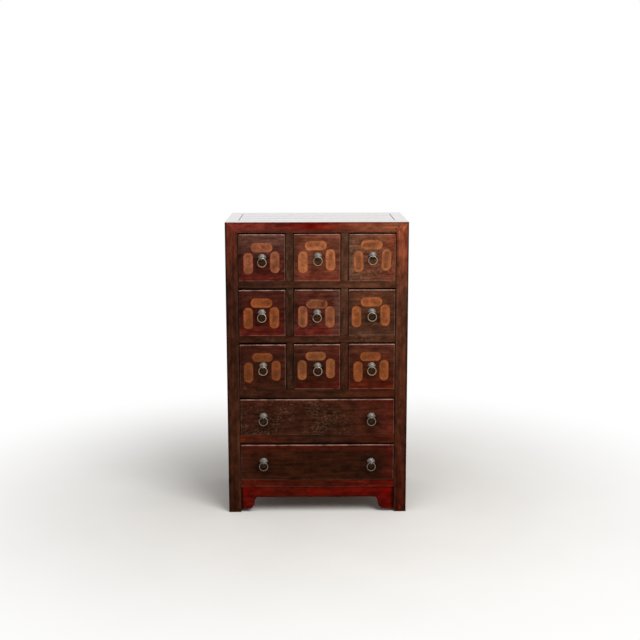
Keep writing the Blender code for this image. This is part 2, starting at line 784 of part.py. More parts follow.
def ring_mesh():
    """Return a ring that hangs below its origin, which is in the middle of its wire."""
    ring = torus_mesh(RING_RADIUS, RING_WIRE_RADIUS, RING_SIDES)
    upright = Matrix.Rotation(math.radians(90), 4, "X")
    place = Matrix.Translation((0, 0, -RING_RADIUS)) @ upright
    bmesh.ops.transform(ring, matrix=place, verts=ring.verts[:])
    mesh = bpy.data.meshes.new("ring")
    ring.to_mesh(mesh)
    ring.free()
    mesh.materials.append(RING_IRON)
    shade_smooth(mesh)
    return mesh


def place_mesh(name, mesh, location, parent=None):
    """Add an object that shows a mesh at a place, measured from its parent if it has one."""
    made = bpy.data.objects.new(name, mesh)
    made.parent = parent
    made.location = location
    PARTS.objects.link(made)
    return made


def hang_pull(label, pull, ring, place, drawer):
    """Fix a pull to a drawer front and hang its ring in the eye."""
    x, z = place
    place_mesh(f"pull_{label}", pull, (x, 0, z), drawer)
    place_mesh(f"ring_{label}", ring, (x, -EYE_STANDOFF, z), drawer)


def make_small_drawers(pull, ring):
    """Make the small drawers, each with one pull about in the middle of its front."""
    size = (SMALL_DRAWER_WIDTH, SMALL_DRAWER_HEIGHT)
    for row in SMALL_ROW_NAMES:
        for column, x in zip(COLUMN_NAMES, COLUMN_XS):
            label = f"{row}_{column}"
            pull_at = pull_place(label, 0, SMALL_DRAWER_HEIGHT)
            mesh = drawer_mesh(f"box_{label}", *size, [pull_at])
            place = (x, FRONT + DRAWER_SETBACK, REST[row] + FIT)
            drawer = place_mesh(f"drawer_{label}", mesh, place)
            hang_pull(label, pull, ring, pull_at, drawer)


def make_wide_drawers(pull, ring):
    """Make the wide drawers, each with a pull below the outer columns."""
    size = (WIDE_DRAWER_WIDTH, WIDE_DRAWER_HEIGHT)
    for row in WIDE_ROW_NAMES:
        pulls = {}
        for side, x in (("left", COLUMN_XS[0]), ("right", COLUMN_XS[-1])):
            label = f"{row}_{side}"
            pulls[label] = pull_place(label, x, WIDE_DRAWER_HEIGHT)
        mesh = drawer_mesh(f"box_{row}", *size, pulls.values())
        place = (0, FRONT + DRAWER_SETBACK, REST[row] + FIT)
        drawer = place_mesh(f"drawer_wide_{row}", mesh, place)
        for label, pull_at in pulls.items():
            hang_pull(label, pull, ring, pull_at, drawer)


def make_carcass():
    """Make the fixed pieces of the chest."""
    for side in (LEFT, RIGHT):
        for end in (FRONT_END, BACK_END):
            make_post(side, end)
        make_top_end(side)
        make_side_panel(side)
        make_lower_side_rail(side)
    for end in (FRONT_END, BACK_END):
        make_top_rail(end)
    make_top_panel()
    make_back_panel()
    make_lower_back_rail()
    for name, rail in RAILS.items():
        make_shelf(name, rail)
    for name, x in zip(SIDE_NAMES.values(), PARTITION_XS):
        make_partition(name, x)
    make_apron()


def make_drawers():
    """Make the drawers with their pulls and rings."""
    pull = pull_mesh()
    ring = ring_mesh()
    make_small_drawers(pull, ring)
    make_wide_drawers(pull, ring)


make_carcass()
make_drawers()
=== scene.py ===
"""Looks of an apothecary chest: aged lacquer, painted labels, iron ring pulls, bare drawer wood.

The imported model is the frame. Posts, shelves, partitions, side panels and lower rails show their
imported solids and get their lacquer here. The top frame, the boards of the top and the back, the
apron, the drawers, the pulls and the rings are built finer and stand for their solids, and labels
and two nails are added. Metres, +Z up, and the front faces -Y.
"""

import logging
import math
from dataclasses import dataclass, field, replace
from enum import Enum
from typing import Sequence, Union

import bmesh
import bpy
from bmesh.types import BMesh, BMFace, BMVert
from bpy.types import Material, Mesh, Node, NodeSocket, NodeTree, Object
from mathutils import Matrix, Vector, noise
from mathutils.geometry import interpolate_bezier

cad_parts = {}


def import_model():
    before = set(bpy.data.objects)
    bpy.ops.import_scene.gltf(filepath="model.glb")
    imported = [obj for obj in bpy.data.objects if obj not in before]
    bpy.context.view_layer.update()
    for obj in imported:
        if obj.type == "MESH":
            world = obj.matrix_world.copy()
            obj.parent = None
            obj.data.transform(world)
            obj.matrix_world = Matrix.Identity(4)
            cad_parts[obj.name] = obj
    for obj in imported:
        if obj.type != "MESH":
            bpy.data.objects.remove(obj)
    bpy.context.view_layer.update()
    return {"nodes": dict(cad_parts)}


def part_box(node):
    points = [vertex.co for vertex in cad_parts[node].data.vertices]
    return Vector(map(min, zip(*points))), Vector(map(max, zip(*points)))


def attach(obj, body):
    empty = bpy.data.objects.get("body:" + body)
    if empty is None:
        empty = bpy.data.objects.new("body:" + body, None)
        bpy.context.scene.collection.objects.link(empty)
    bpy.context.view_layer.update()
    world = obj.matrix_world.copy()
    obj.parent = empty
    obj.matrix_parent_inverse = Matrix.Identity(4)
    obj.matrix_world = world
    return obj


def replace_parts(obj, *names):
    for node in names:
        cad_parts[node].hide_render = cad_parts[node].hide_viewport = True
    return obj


LOG = logging.getLogger("apothecary_chest")

MM = 0.001
# Distance in metres under which two places count as one
NEAR = 1e-6
ROOT = "carcass"

# What an input of a node takes, and colours at places in millimetres
Feed = Union[Node, NodeSocket, float, Sequence[float]]
Stops = tuple[tuple[float, str], ...]

# Inputs of a map range for the span that most of a noise fills
MOST = {1: 0.3, 2: 0.7}


class Axis(Enum):
    """Axis that grain runs along, that a colour drifts along, or that a prism is drawn along."""

    X = 0
    Y = 1
    Z = 2


class Side(Enum):
    """Side of the chest or of a drawer, by the sign of X there."""

    LEFT = -1
    RIGHT = 1

    @property
    def word(self) -> str:
        """The side as names of pieces say it."""
        return self.name.lower()


def linear(code: str) -> tuple[float, float, float, float]:
    """Turn an sRGB hex colour into linear RGBA.

    Args:
        code: Colour such as "#4a2216".

    Returns:
        The linear colour with full alpha.
    """
    parts = [int(code[at : at + 2], 16) / 255 for at in (1, 3, 5)]
    red, green, blue = [
        part / 12.92 if part <= 0.04045 else ((part + 0.055) / 1.055) ** 2.4 for part in parts
    ]
    return red, green, blue, 1.0


def per_metre(size: float) -> float:
    """Return the texture scale at which one cell of a pattern spans a size in millimetres."""
    return 1.0 / (size * MM)


def add_node(
    tree: NodeTree, kind: str, feeds: dict[Union[int, str], Feed] | None = None, **settings: object
) -> Node:
    """Add one shader node with its settings, values and links.

    By number, a map range takes its value at 0, the span it comes from at 1 and 2 and the span it
    goes to at 3 and 4. A mix of colours takes its share at 0 and the colours at 6 and 7.

    Args:
        tree: Tree that takes the node.
        kind: Node type without its common prefix.
        feeds: For each input, a value, a socket, or a node whose first output is used.
        settings: Attributes of the node.

    Returns:
        The new node.
    """
    node = tree.nodes.new(f"ShaderNode{kind}")
    for key, value in settings.items():
        setattr(node, key, value)
    for key, value in (feeds or {}).items():
        if isinstance(value, Node):
            value = next(socket for socket in value.outputs if socket.enabled)
        if isinstance(value, NodeSocket):
            tree.links.new(value, node.inputs[key])
        else:
            node.inputs[key].default_value = value
    return node


def lay_over(tree: NodeTree, under: Feed, code: str, amount: float, *masks: Feed) -> Node:
    """Lay a colour over another one where all of the masks let it through.

    Args:
        tree: Tree that takes the nodes.
        under: Colour below.
        code: Hex colour that goes over it.
        amount: How much of it shows where the masks are full.
        masks: Where it goes, each from 0 to 1.

    Returns:
        The node that gives the mixed colour.
    """
    share, *others = masks
    for factor in (*others, amount):
        share = add_node(tree, "Math", {0: share, 1: factor}, operation="MULTIPLY")
    return add_node(tree, "Mix", {0: share, 6: under, 7: linear(code)}, data_type="RGBA")


def start_material(name: str) -> tuple[Material, NodeTree, NodeSocket]:
    """Make an empty material.

    Args:
        name: Name of the material.

    Returns:
        The material, its tree and the socket of object coordinates in metres.
    """
    made = bpy.data.materials.new(name)
    made.use_nodes = True
    made.node_tree.nodes.clear()
    return made, made.node_tree, add_node(made.node_tree, "TexCoord").outputs["Object"]


def drawn_along(tree: NodeTree, place: NodeSocket, grain: Axis, stretch: float) -> Node:
    """Return coordinates in which every pattern is drawn out along the grain.

    Args:
        tree: Tree that takes the node.
        place: Coordinates in metres.
        grain: Axis of the grain.
        stretch: How many times longer than wide a pattern becomes.

    Returns:
        The mapping node.
    """
    scale = Vector((1.0, 1.0, 1.0))
    scale[grain.value] = 1 / stretch
    return add_node(tree, "Mapping", {"Vector": place, "Scale": scale})


@dataclass(frozen=True)
class Fade:
    """A second colour that comes in across a member.

    Attributes:
        axis: Axis along which it comes in.
        near: Place in millimetres where it starts.
        far: Place in millimetres where it is full.
        code: Its colour.
        share: How much of it shows where it is full.
    """

    axis: Axis
    near: float
    far: float
    code: str
    share: float


@dataclass(frozen=True)
class AgedLacquer:
    """Brushed lacquer over wood, a brown coat on a red one, abraded and waxed over many years.

    The eye gets a deep brown that drifts to red where the upper coat is thin, streaks along the
    brush, crazed fields of pale and dark flakes, pale arrises that are partly wear and partly
    painted highlight, arrises darkened as painted shade in the gaps, and soiling with painted
    shade in the corners.

    Attributes:
        stops: Places in millimetres along the drift, each with the colour there.
        drift: Axis along which the colour drifts.
        wander: How far in millimetres cloudy patches shift the drift.
        grain: Axis of the brush strokes and the wood.
        fades: Colours that come in across the drift.
        red: Lower coat.
        red_share: How much of the lower coat shows, from 0 to 1.
        flake: Colour of lifted, dusty flakes.
        flake_share: How much of the surface has crazed, from 0 to 1.
        flake_size: Size of a flake in millimetres.
        sound: Span along X in millimetres across which the crazing dies out.
        arris: Radius in millimetres to which an arris is eased for the eye.
        edge: Colour of an arris, dark as a painted shade that deepens the gaps between parts.
        edge_share: How much of that colour the arrises have.
        worn_edge: Colour of arrises a mesh marks pale, partly wear and partly painted highlight.
        grime: Colour of cracks, and of soiling with painted shade in corners and below the pulls.
        corner: How far in millimetres the soiling and painted shade reach out of a corner.
        pulls: Places of the pulls in X and Z in metres, on a drawer front.
        pull_grime: How dark the soiling and painted ring shadow below the pulls are.
        fingered: Colour of a painted highlight inside the rings.
        rubbed: Level in millimetres of a lower arris painted pale, as highlight and dust.
        rub: Colour of that line.
        rub_height: Its height in millimetres.
        bare_from: Place along Y in metres behind which the member was never lacquered.
        wood: Dark and pale tone of the bare wood there.
        relief: Strength of the bumps.
        roughness: Roughness of sound lacquer.
        specular: Specular level, low because old lacquer has lost most of its gloss.
        coat: Weight of the wax polish.
        seed: Offset that gives each member its own pattern.
    """

    stops: Stops
    drift: Axis = Axis.X
    wander: float = 50.0
    grain: Axis = Axis.X
    fades: tuple[Fade, ...] = ()
    red: str = "#7a0c07"
    red_share: float = 0.25
    flake: str = "#70594a"
    flake_share: float = 0.2
    flake_size: float = 6.0
    sound: tuple[float, float] | None = None
    arris: float = 1.4
    edge: str = "#1b0c07"
    edge_share: float = 0.6
    worn_edge: str = "#b08a7c"
    grime: str = "#0f0503"
    corner: float = 9.0
    pulls: tuple[tuple[float, float], ...] = ()
    pull_grime: float = 0.75
    fingered: str = "#6b4a22"
    rubbed: float | None = None
    rub: str = "#84706a"
    rub_height: float = 2.4
    bare_from: float | None = None
    wood: tuple[str, str] = ("#5d3d26", "#8a6342")
    relief: float = 0.35
    roughness: float = 0.40
    specular: float = 0.018
    coat: float = 0.0
    seed: float = 0.0

    def material(self, name: str) -> Material:
        """Build the lacquer.

        Args:
            name: Name of the material.

        Returns:
            The material.
        """
        made, tree, place = start_material(name)
        axes = add_node(tree, "SeparateXYZ", {0: place})
        # Cloudy patches, brush streaks, mottling and flakes, each from its own size in millimetres
        cloud, streak, mottle, flake = [
            add_node(
                tree,
                "TexNoise",
                {
                    "Vector": drawn_along(tree, place, self.grain, stretch),
                    "W": self.seed + shift,
                    "Scale": per_metre(size),
                    "Detail": detail,
                    "Roughness": rough,
                },
                noise_dimensions="4D",
            )
            for stretch, shift, size, detail, rough in (
                (1.0, 0.0, 75.0, 4.0, 0.55),
                (20.0, 3.0, 7.0, 4.0, 0.60),
                (2.2, 6.0, 14.0, 5.0, 0.65),
                (1.6, 9.0, self.flake_size, 3.0, 0.65),
            )
        ]
        colour = self.drifting(tree, axes, cloud)
        for noise_node, low, high in ((streak, 0.71, 1.29), (mottle, 0.57, 1.43)):
            tone = add_node(tree, "MapRange", {0: noise_node, 1: 0.36, 2: 0.64, 3: low, 4: high})
            colour = add_node(tree, "HueSaturation", {"Value": tone, "Color": colour})
        # The greater the share, the lower the level from which the noises count as thin lacquer
        start = 0.68 - 0.30 * self.red_share
        thin = add_node(tree, "Math", {0: cloud, 1: 0.6}, operation="MULTIPLY")
        thin = add_node(tree, "Math", {0: streak, 1: 0.4, 2: thin}, operation="MULTIPLY_ADD")
        thin = add_node(tree, "MapRange", {0: thin, 1: start, 2: start + 0.14})
        colour = lay_over(tree, colour, self.red, 0.75, thin)
        lifted: Feed = 0.0
        if self.flake_share:
            colour, lifted = self.crazed(tree, axes, colour, cloud, mottle, flake)
        for pull in self.pulls:
            colour = self.handled(tree, place, colour, mottle, pull)
        soft = add_node(tree, "Bevel", {"Radius": self.arris * MM}, samples=6)
        # Painted shade: ambient occlusion darkens corners, recesses and the gaps between parts,
        # standing for soiling there as well
        corner = add_node(tree, "AmbientOcclusion", {"Distance": self.corner * MM}, samples=8)
        corner = add_node(tree, "MapRange", {0: corner.outputs["AO"], 1: 0.20, 2: 0.62, 3: 1, 4: 0})
        colour = lay_over(tree, colour, self.grime, 0.92, corner)
        colour = self.worn(tree, colour, soft, mottle)
        # Painted highlight with dust: a pale line along a lower arris
        if self.rubbed is not None:
            over = self.rubbed + self.rub_height
            limits = {1: self.rubbed * MM, 2: over * MM, 3: 1.0, 4: 0.0}
            line = add_node(tree, "MapRange", {0: axes.outputs[Axis.Z.value], **limits})
            broken = add_node(tree, "MapRange", {0: mottle, 1: 0.35, 2: 0.6, 3: 0.3, 4: 1.0})
            colour = lay_over(tree, colour, self.rub, 0.70, line, broken)
        limits = {**MOST, 3: self.roughness - 0.07, 4: self.roughness + 0.12}
        rough = add_node(tree, "MapRange", {0: mottle, **limits})
        if self.bare_from is not None:
            colour, rough = self.bared(tree, axes, colour, rough, streak)
        relief = add_node(tree, "Math", {0: streak, 1: 0.5, 2: lifted}, operation="MULTIPLY_ADD")
        bump = {"Strength": self.relief, "Distance": 0.5 * MM, "Height": relief, "Normal": soft}
        surface = {"Base Color": colour, "Roughness": rough, "Normal": add_node(tree, "Bump", bump)}
        gloss = {"IOR": 1.5, "Specular IOR Level": self.specular}
        wax = {"Coat Weight": self.coat, "Coat Roughness": 0.12}
        shader = add_node(tree, "BsdfPrincipled", {**surface, **gloss, **wax})
        add_node(tree, "OutputMaterial", {"Surface": shader})
        return made

    def drifting(self, tree: NodeTree, axes: Node, cloud: Node) -> Feed:
        """Return the lacquer's own colour, which drifts from stop to stop in cloudy patches.

        Args:
            tree: Tree that takes the nodes.
            axes: Node that splits the coordinates.
            cloud: Noise that blurs the drift.

        Returns:
            The colour.
        """
        wander = self.wander * MM
        at = axes.outputs[self.drift.value]
        at = add_node(tree, "Math", {0: cloud, 1: wander, 2: at}, operation="MULTIPLY_ADD")
        colour: Feed = linear(self.stops[0][1])
        for (near, _), (far, code) in zip(self.stops, self.stops[1:]):
            limits = {1: near * MM + wander / 2, 2: far * MM + wander / 2}
            share = add_node(tree, "MapRange", {0: at, **limits})
            colour = add_node(tree, "Mix", {0: share, 6: colour, 7: linear(code)}, data_type="RGBA")
        for fade in self.fades:
            blur = 0.4 * abs(fade.far - fade.near) * MM
            at = axes.outputs[fade.axis.value]
            at = add_node(tree, "Math", {0: cloud, 1: blur, 2: at}, operation="MULTIPLY_ADD")
            limits = {1: fade.near * MM + blur / 2, 2: fade.far * MM + blur / 2}
            share = add_node(tree, "MapRange", {0: at, **limits})
            colour = lay_over(tree, colour, fade.code, fade.share, share)
        return colour

    def crazed(
        self, tree: NodeTree, axes: Node, colour: Feed, cloud: Node, mottle: Node, flake: Node
    ) -> tuple[Node, Node]:
        """Break fields of the lacquer up into pale lifted flakes and dark cracks.

        Args:
            tree: Tree that takes the nodes.
            axes: Node that splits the coordinates.
            colour: Colour so far.
            cloud: Noise that places the fields.
            mottle: Noise that frays their outlines.
            flake: Noise that draws the flakes.

        Returns:
            The nodes that give the colour and the flakes' height.
        """
        # The greater the share, the lower the level from which the noises count as crazed
        start = 0.66 - 0.32 * self.flake_share
        broken = add_node(tree, "Math", {0: cloud, 1: 0.65}, operation="MULTIPLY")
        broken = add_node(tree, "Math", {0: mottle, 1: 0.35, 2: broken}, operation="MULTIPLY_ADD")
        broken = add_node(tree, "MapRange", {0: broken, 1: start, 2: start + 0.10})
        if self.sound:
            near, far = self.sound
            limits = {1: near * MM, 2: far * MM, 3: 1.0, 4: 0.2}
            kept = add_node(tree, "MapRange", {0: axes.outputs[Axis.X.value], **limits})
            broken = add_node(tree, "Math", {0: broken, 1: kept}, operation="MULTIPLY")
        pale = add_node(tree, "MapRange", {0: flake, 1: 0.50, 2: 0.64})
        pale = add_node(tree, "Math", {0: pale, 1: broken}, operation="MULTIPLY")
        colour = lay_over(tree, colour, self.flake, 0.48, pale)
        dark = add_node(tree, "MapRange", {0: flake, 1: 0.48, 2: 0.36})
        return lay_over(tree, colour, self.grime, 0.60, dark, broken), pale

    def handled(
        self,
        tree: NodeTree,
        place: NodeSocket,
        colour: Feed,
        mottle: Node,
        pull: tuple[float, float],
    ) -> Node:
        """Darken below a pull with soiling and painted shadow, and paint a highlight in its ring.

        Args:
            tree: Tree that takes the nodes.
            place: Coordinates in metres.
            colour: Colour so far.
            mottle: Noise that breaks up the dark patch and the highlight.
            pull: Place of the pull in X and Z.

        Returns:
            The node that gives the handled colour.
        """
        broken = add_node(tree, "MapRange", {0: mottle, 1: 0.35, 2: 0.65, 3: 1.5, 4: 0.5})
        # Painted light: the first patch is soiling with a painted shadow of the ring, the second a
        # painted highlight inside the ring
        # Millimetres: how far below the pull, where it is full and where it ends
        for drop, full, end, code, amount in (
            (18.0, 16.0, 42.0, self.grime, self.pull_grime),
            (14.0, 4.0, 11.0, self.fingered, 0.32),
        ):
            below = (pull[0], 0.0, pull[1] - drop * MM)
            away = add_node(tree, "VectorMath", {0: place, 1: below}, operation="DISTANCE")
            limits = {1: full * MM, 2: end * MM, 3: 1.0, 4: 0.0}
            near = add_node(tree, "MapRange", {0: away.outputs["Value"], **limits})
            both = {"operation": "MULTIPLY", "use_clamp": True}
            mask = add_node(tree, "Math", {0: near, 1: broken}, **both)
            colour = lay_over(tree, colour, code, amount, mask)
        return colour

    def worn(self, tree: NodeTree, colour: Feed, soft: Node, mottle: Node) -> Node:
        """Darken arrises as painted shade; lighten marked ones as wear and painted highlight.

        Args:
            tree: Tree that takes the nodes.
            colour: Colour so far.
            soft: Normal rounded over the edges.
            mottle: Noise that breaks up the wear.

        Returns:
            The node that gives the colour.
        """
        broken = add_node(tree, "MapRange", {0: mottle, 1: 0.36, 2: 0.56, 3: 0.15, 4: 1.0})
        flat = add_node(tree, "NewGeometry").outputs["Normal"]
        turn = add_node(tree, "VectorMath", {0: soft, 1: flat}, operation="DOT_PRODUCT")
        arris = add_node(tree, "MapRange", {0: turn.outputs["Value"], 1: 0.985, 2: 0.86})
        # Painted shade: dark arrises deepen the gaps between parts
        colour = lay_over(tree, colour, self.edge, self.edge_share, arris, broken)
        # Painted highlight with wear: the pale line that a mesh marks along its arrises
        marked = add_node(tree, "Attribute", attribute_name="worn").outputs["Fac"]
        return lay_over(tree, colour, self.worn_edge, 0.9, marked, broken)

    def bared(
        self, tree: NodeTree, axes: Node, colour: Feed, rough: Feed, streak: Node
    ) -> tuple[Node, Node]:
        """Leave the member as bare dusty wood behind its front.

        Args:
            tree: Tree that takes the nodes.
            axes: Node that splits the coordinates.
            colour: Lacquer colour.
            rough: Lacquer roughness.
            streak: Noise along the grain.

        Returns:
            The nodes that give colour and roughness.
        """
        limits = {1: self.bare_from, 2: self.bare_from + 4 * MM}
        mask = add_node(tree, "MapRange", {0: axes.outputs[Axis.Y.value], **limits})
        dark, pale = [linear(code) for code in self.wood]
        wood = add_node(tree, "Mix", {0: streak, 6: dark, 7: pale}, data_type="RGBA")
        colour = add_node(tree, "Mix", {0: mask, 6: colour, 7: wood}, data_type="RGBA")
        rough = add_node(tree, "Mix", {0: mask, 2: rough, 3: 0.75}, data_type="FLOAT")
        return colour, rough


# Colours of the members that hardly show, from left to right
PLAIN_BROWN: Stops = ((-300, "#4a2116"), (300, "#522a1c"))

# The top: the same lacquer kept bright by wax and use, in which the eye sees the room's light
POLISHED_TOP = AgedLacquer(
    ((-250, "#4a2015"), (250, "#5a2f20")),
    red_share=0.35,
    flake_share=0.0,
    edge_share=0.3,
    relief=0.01,
    roughness=0.16,
    specular=0.5,
    coat=1.0,
    seed=30.0,
)


@dataclass(frozen=True)
class LabelPaint:
    """Ochre oil paint brushed thinly on lacquer, abraded and stained.

    The eye gets a mottled orange brown with dark stains along the middle, a soft darker rim, and
    places where the lacquer below shows through.

    Attributes:
        paint: Colour of the sound paint.
        stain: Colour of the stains.
        ground: Lacquer below.
        loss: How much is lost to wear, from 0 to 1.
        seed: Offset that gives each label its own pattern.
    """

    paint: str = "#9c5c38"
    stain: str = "#4c2a18"
    ground: str = "#3f1f14"
    loss: float = 0.2
    seed: float = 0.0

    def material(self, name: str) -> Material:
        """Build the paint.

        Args:
            name: Name of the material.

        Returns:
            The material.
        """
        made, tree, place = start_material(name)
        brushed = {"Vector": place, "Detail": 2.0, "Roughness": 0.45}
        blotch, grit, patch = [
            add_node(
                tree,
                "TexNoise",
                {**brushed, "W": self.seed + shift, "Scale": per_metre(size)},
                noise_dimensions="4D",
            )
            for shift, size in ((0.0, 21.0), (4.0, 6.0), (8.0, 30.0))
        ]
        inside = add_node(tree, "Attribute", attribute_name="inside").outputs["Fac"]
        colour: Feed = linear(self.paint)
        for noise_node, low, high in ((grit, 0.76, 1.24), (patch, 0.70, 1.30)):
            tone = add_node(tree, "MapRange", {0: noise_node, 1: 0.34, 2: 0.66, 3: low, 4: high})
            colour = add_node(tree, "HueSaturation", {"Value": tone, "Color": colour})
        middle = add_node(tree, "MapRange", {0: inside, 1: 0.25, 2: 0.75, 3: 0.15, 4: 1.0})
        stained = add_node(tree, "MapRange", {0: blotch, 1: 0.30, 2: 0.72})
        colour = lay_over(tree, colour, self.stain, 0.80, stained, middle)
        start = 0.70 - 0.30 * self.loss
        lost = add_node(tree, "MapRange", {0: patch, 1: start, 2: start + 0.14})
        colour = lay_over(tree, colour, self.ground, 0.75, lost)
        chipped = add_node(tree, "MapRange", {0: grit, 1: 0.60, 2: 0.68})
        colour = lay_over(tree, colour, self.ground, 0.55, chipped)
        rim = add_node(tree, "MapRange", {0: inside, 1: 0.0, 2: 0.12, 3: 1.0, 4: 0.0})
        colour = lay_over(tree, colour, self.ground, 0.55, rim)
        rough = add_node(tree, "MapRange", {0: blotch, **MOST, 3: 0.48, 4: 0.62})
        bump = add_node(tree, "Bump", {"Strength": 0.3, "Distance": 0.2 * MM, "Height": grit})
        surface = {"Base Color": colour, "Roughness": rough, "Normal": bump}
        gloss = {"IOR": 1.48, "Specular IOR Level": 0.05}
        shader = add_node(tree, "BsdfPrincipled", {**surface, **gloss})
        add_node(tree, "OutputMaterial", {"Surface": shader})
        return made


@dataclass(frozen=True)
class PatinatedIron:
    """Forged iron with a polished, slightly tinned face.

    The eye gets a soft grey metal, bright where hands polish it, with a bluish green bloom, black
    scale in the hollows, and the same black on the undersides as painted shade.

    Attributes:
        bright: Rubbed metal.
        bloom: Colour of the bloom.
        scale: Colour of the black scale, and of the painted shade on the undersides.
        roughness: Roughness of the polished metal.
        metallic: Less than 1 where chalky oxide covers the metal.
    """

    bright: str = "#827b73"
    bloom: str = "#6c6b69"
    scale: str = "#231912"
    roughness: float = 0.48
    metallic: float = 1.0

    def material(self, name: str) -> Material:
        """Build the iron.

        Args:
            name: Name of the material.

        Returns:
            The material.
        """
        made, tree, place = start_material(name)
        odd = add_node(tree, "ObjectInfo").outputs["Random"]
        odd = add_node(tree, "Math", {0: odd, 1: 60.0}, operation="MULTIPLY")
        patch, pit = [
            add_node(
                tree,
                "TexNoise",
                {"Vector": place, "W": odd, "Scale": per_metre(size), "Detail": 4.0},
                noise_dimensions="4D",
            )
            for size in (9.0, 2.2)
        ]
        tone = add_node(tree, "MapRange", {0: pit, **MOST, 3: 0.84, 4: 1.14})
        colour = add_node(tree, "HueSaturation", {"Value": tone, "Color": linear(self.bright)})
        bloomed = add_node(tree, "MapRange", {0: patch, 1: 0.50, 2: 0.64})
        colour = lay_over(tree, colour, self.bloom, 0.75, bloomed)
        # Black scale in the hollows, and painted shade on the boss's lower half
        scaled = add_node(tree, "Attribute", attribute_name="scaled").outputs["Fac"]
        scaled = add_node(tree, "Math", {0: pit, 1: 0.5, 2: scaled}, operation="MULTIPLY_ADD")
        scaled = add_node(tree, "MapRange", {0: scaled, 1: 0.45, 2: 0.85})
        colour = lay_over(tree, colour, self.scale, 0.92, scaled)
        dull = self.roughness + 0.25
        rough = add_node(tree, "MapRange", {0: scaled, 3: self.roughness, 4: dull})
        bump = add_node(tree, "Bump", {"Strength": 0.2, "Distance": 0.2 * MM, "Height": pit})
        surface = {"Base Color": colour, "Roughness": rough, "Normal": bump}
        shader = add_node(tree, "BsdfPrincipled", {**surface, "Metallic": self.metallic})
        add_node(tree, "OutputMaterial", {"Surface": shader})
        return made


@dataclass(frozen=True)
class AgedSoftwood:
    """Planed softwood that was never lacquered, browned by age and handling.

    The eye gets arched growth rings along the grain, fine fibres, dull stains, and soiling
    with painted shade in the corners.

    Attributes:
        pale: Early wood.
        ring: Late wood.
        grain: Axis of the grain.
        pith: Place of the tree's middle from the piece's origin, in millimetres.
        slant: Angle between the tree's middle and the grain, in degrees.
        pitch: Distance between growth rings in millimetres.
        seed: Offset that gives each board its own figure.
        wander: How far in millimetres the rings run off a true circle.
        stain: Colour of the stains.
        dirt: Colour of the soiling and painted shade in the corners.
        corner: How far in millimetres the soiling and painted shade reach out of a corner.
    """

    pale: str = "#97704c"
    ring: str = "#5f3d25"
    grain: Axis = Axis.Y
    pith: tuple[float, float, float] = (12.0, 26.0, 34.0)
    slant: float = 3.0
    pitch: float = 5.0
    seed: float = 0.0
    wander: float = 22.0
    stain: str = "#3f2818"
    dirt: str = "#20130b"
    corner: float = 14.0

    def material(self, name: str) -> Material:
        """Build the wood.

        Args:
            name: Name of the material.

        Returns:
            The material.
        """
        made, tree, place = start_material(name)
        along = drawn_along(tree, place, self.grain, 12.0)
        odd = add_node(tree, "ObjectInfo").outputs["Random"]
        odd = add_node(tree, "Math", {0: odd, 1: 30.0, 2: self.seed}, operation="MULTIPLY_ADD")
        own = {"W": odd, "Roughness": 0.6}
        figure, fibre, blot = [
            add_node(
                tree,
                "TexNoise",
                {**own, "Vector": where, "Scale": per_metre(size), "Detail": detail},
                noise_dimensions="4D",
            )
            for where, size, detail in ((along, 50.0, 2.0), (along, 2.4, 4.0), (place, 90.0, 4.0))
        ]
        # A board shows arches where it cuts the rings of a trunk that lies aslant to it
        lean = {"Location": Vector(self.pith) * MM, "Rotation": [math.radians(self.slant)] * 3}
        aslant = add_node(tree, "Mapping", {"Vector": place, **lean})
        flat = Vector((1.0, 1.0, 1.0))
        flat[self.grain.value] = 0.0
        aslant = add_node(tree, "VectorMath", {0: aslant, 1: flat}, operation="MULTIPLY")
        away = add_node(tree, "VectorMath", {0: aslant}, operation="LENGTH").outputs["Value"]
        wander = {0: figure, 1: self.wander * MM, 2: away}
        away = add_node(tree, "Math", wander, operation="MULTIPLY_ADD")
        rings = add_node(tree, "Math", {0: away, 1: self.pitch * MM}, operation="FLOORED_MODULO")
        limits = {1: 0.25 * self.pitch * MM, 2: 0.92 * self.pitch * MM}
        rings = add_node(tree, "MapRange", {0: rings, **limits})
        rings = add_node(tree, "Math", {0: rings, 1: 2.2}, operation="POWER")
        tone = add_node(tree, "MapRange", {0: fibre, **MOST, 3: 0.80, 4: 1.18})
        colour = add_node(tree, "HueSaturation", {"Value": tone, "Color": linear(self.pale)})
        colour = lay_over(tree, colour, self.ring, 0.65, rings)
        stained = add_node(tree, "MapRange", {0: blot, 1: 0.45, 2: 0.70})
        colour = lay_over(tree, colour, self.stain, 0.45, stained)
        # Painted shade: ambient occlusion darkens the corners, standing for soiling there as well
        corner = add_node(tree, "AmbientOcclusion", {"Distance": self.corner * MM}, samples=8)
        corner = add_node(tree, "MapRange", {0: corner.outputs["AO"], 1: 0.25, 2: 0.9, 3: 1, 4: 0})
        colour = lay_over(tree, colour, self.dirt, 0.55, corner)
        relief = add_node(tree, "Math", {0: rings, 1: 0.5, 2: fibre}, operation="MULTIPLY_ADD")
        bump = add_node(tree, "Bump", {"Strength": 0.3, "Distance": 0.4 * MM, "Height": relief})
        rough = add_node(tree, "MapRange", {0: fibre, **MOST, 3: 0.68, 4: 0.82})
        surface = {"Base Color": colour, "Roughness": rough, "Normal": bump}
        gloss = {"IOR": 1.5, "Specular IOR Level": 0.2}
        shader = add_node(tree, "BsdfPrincipled", {**surface, **gloss})
        add_node(tree, "OutputMaterial", {"Surface": shader})
        return made


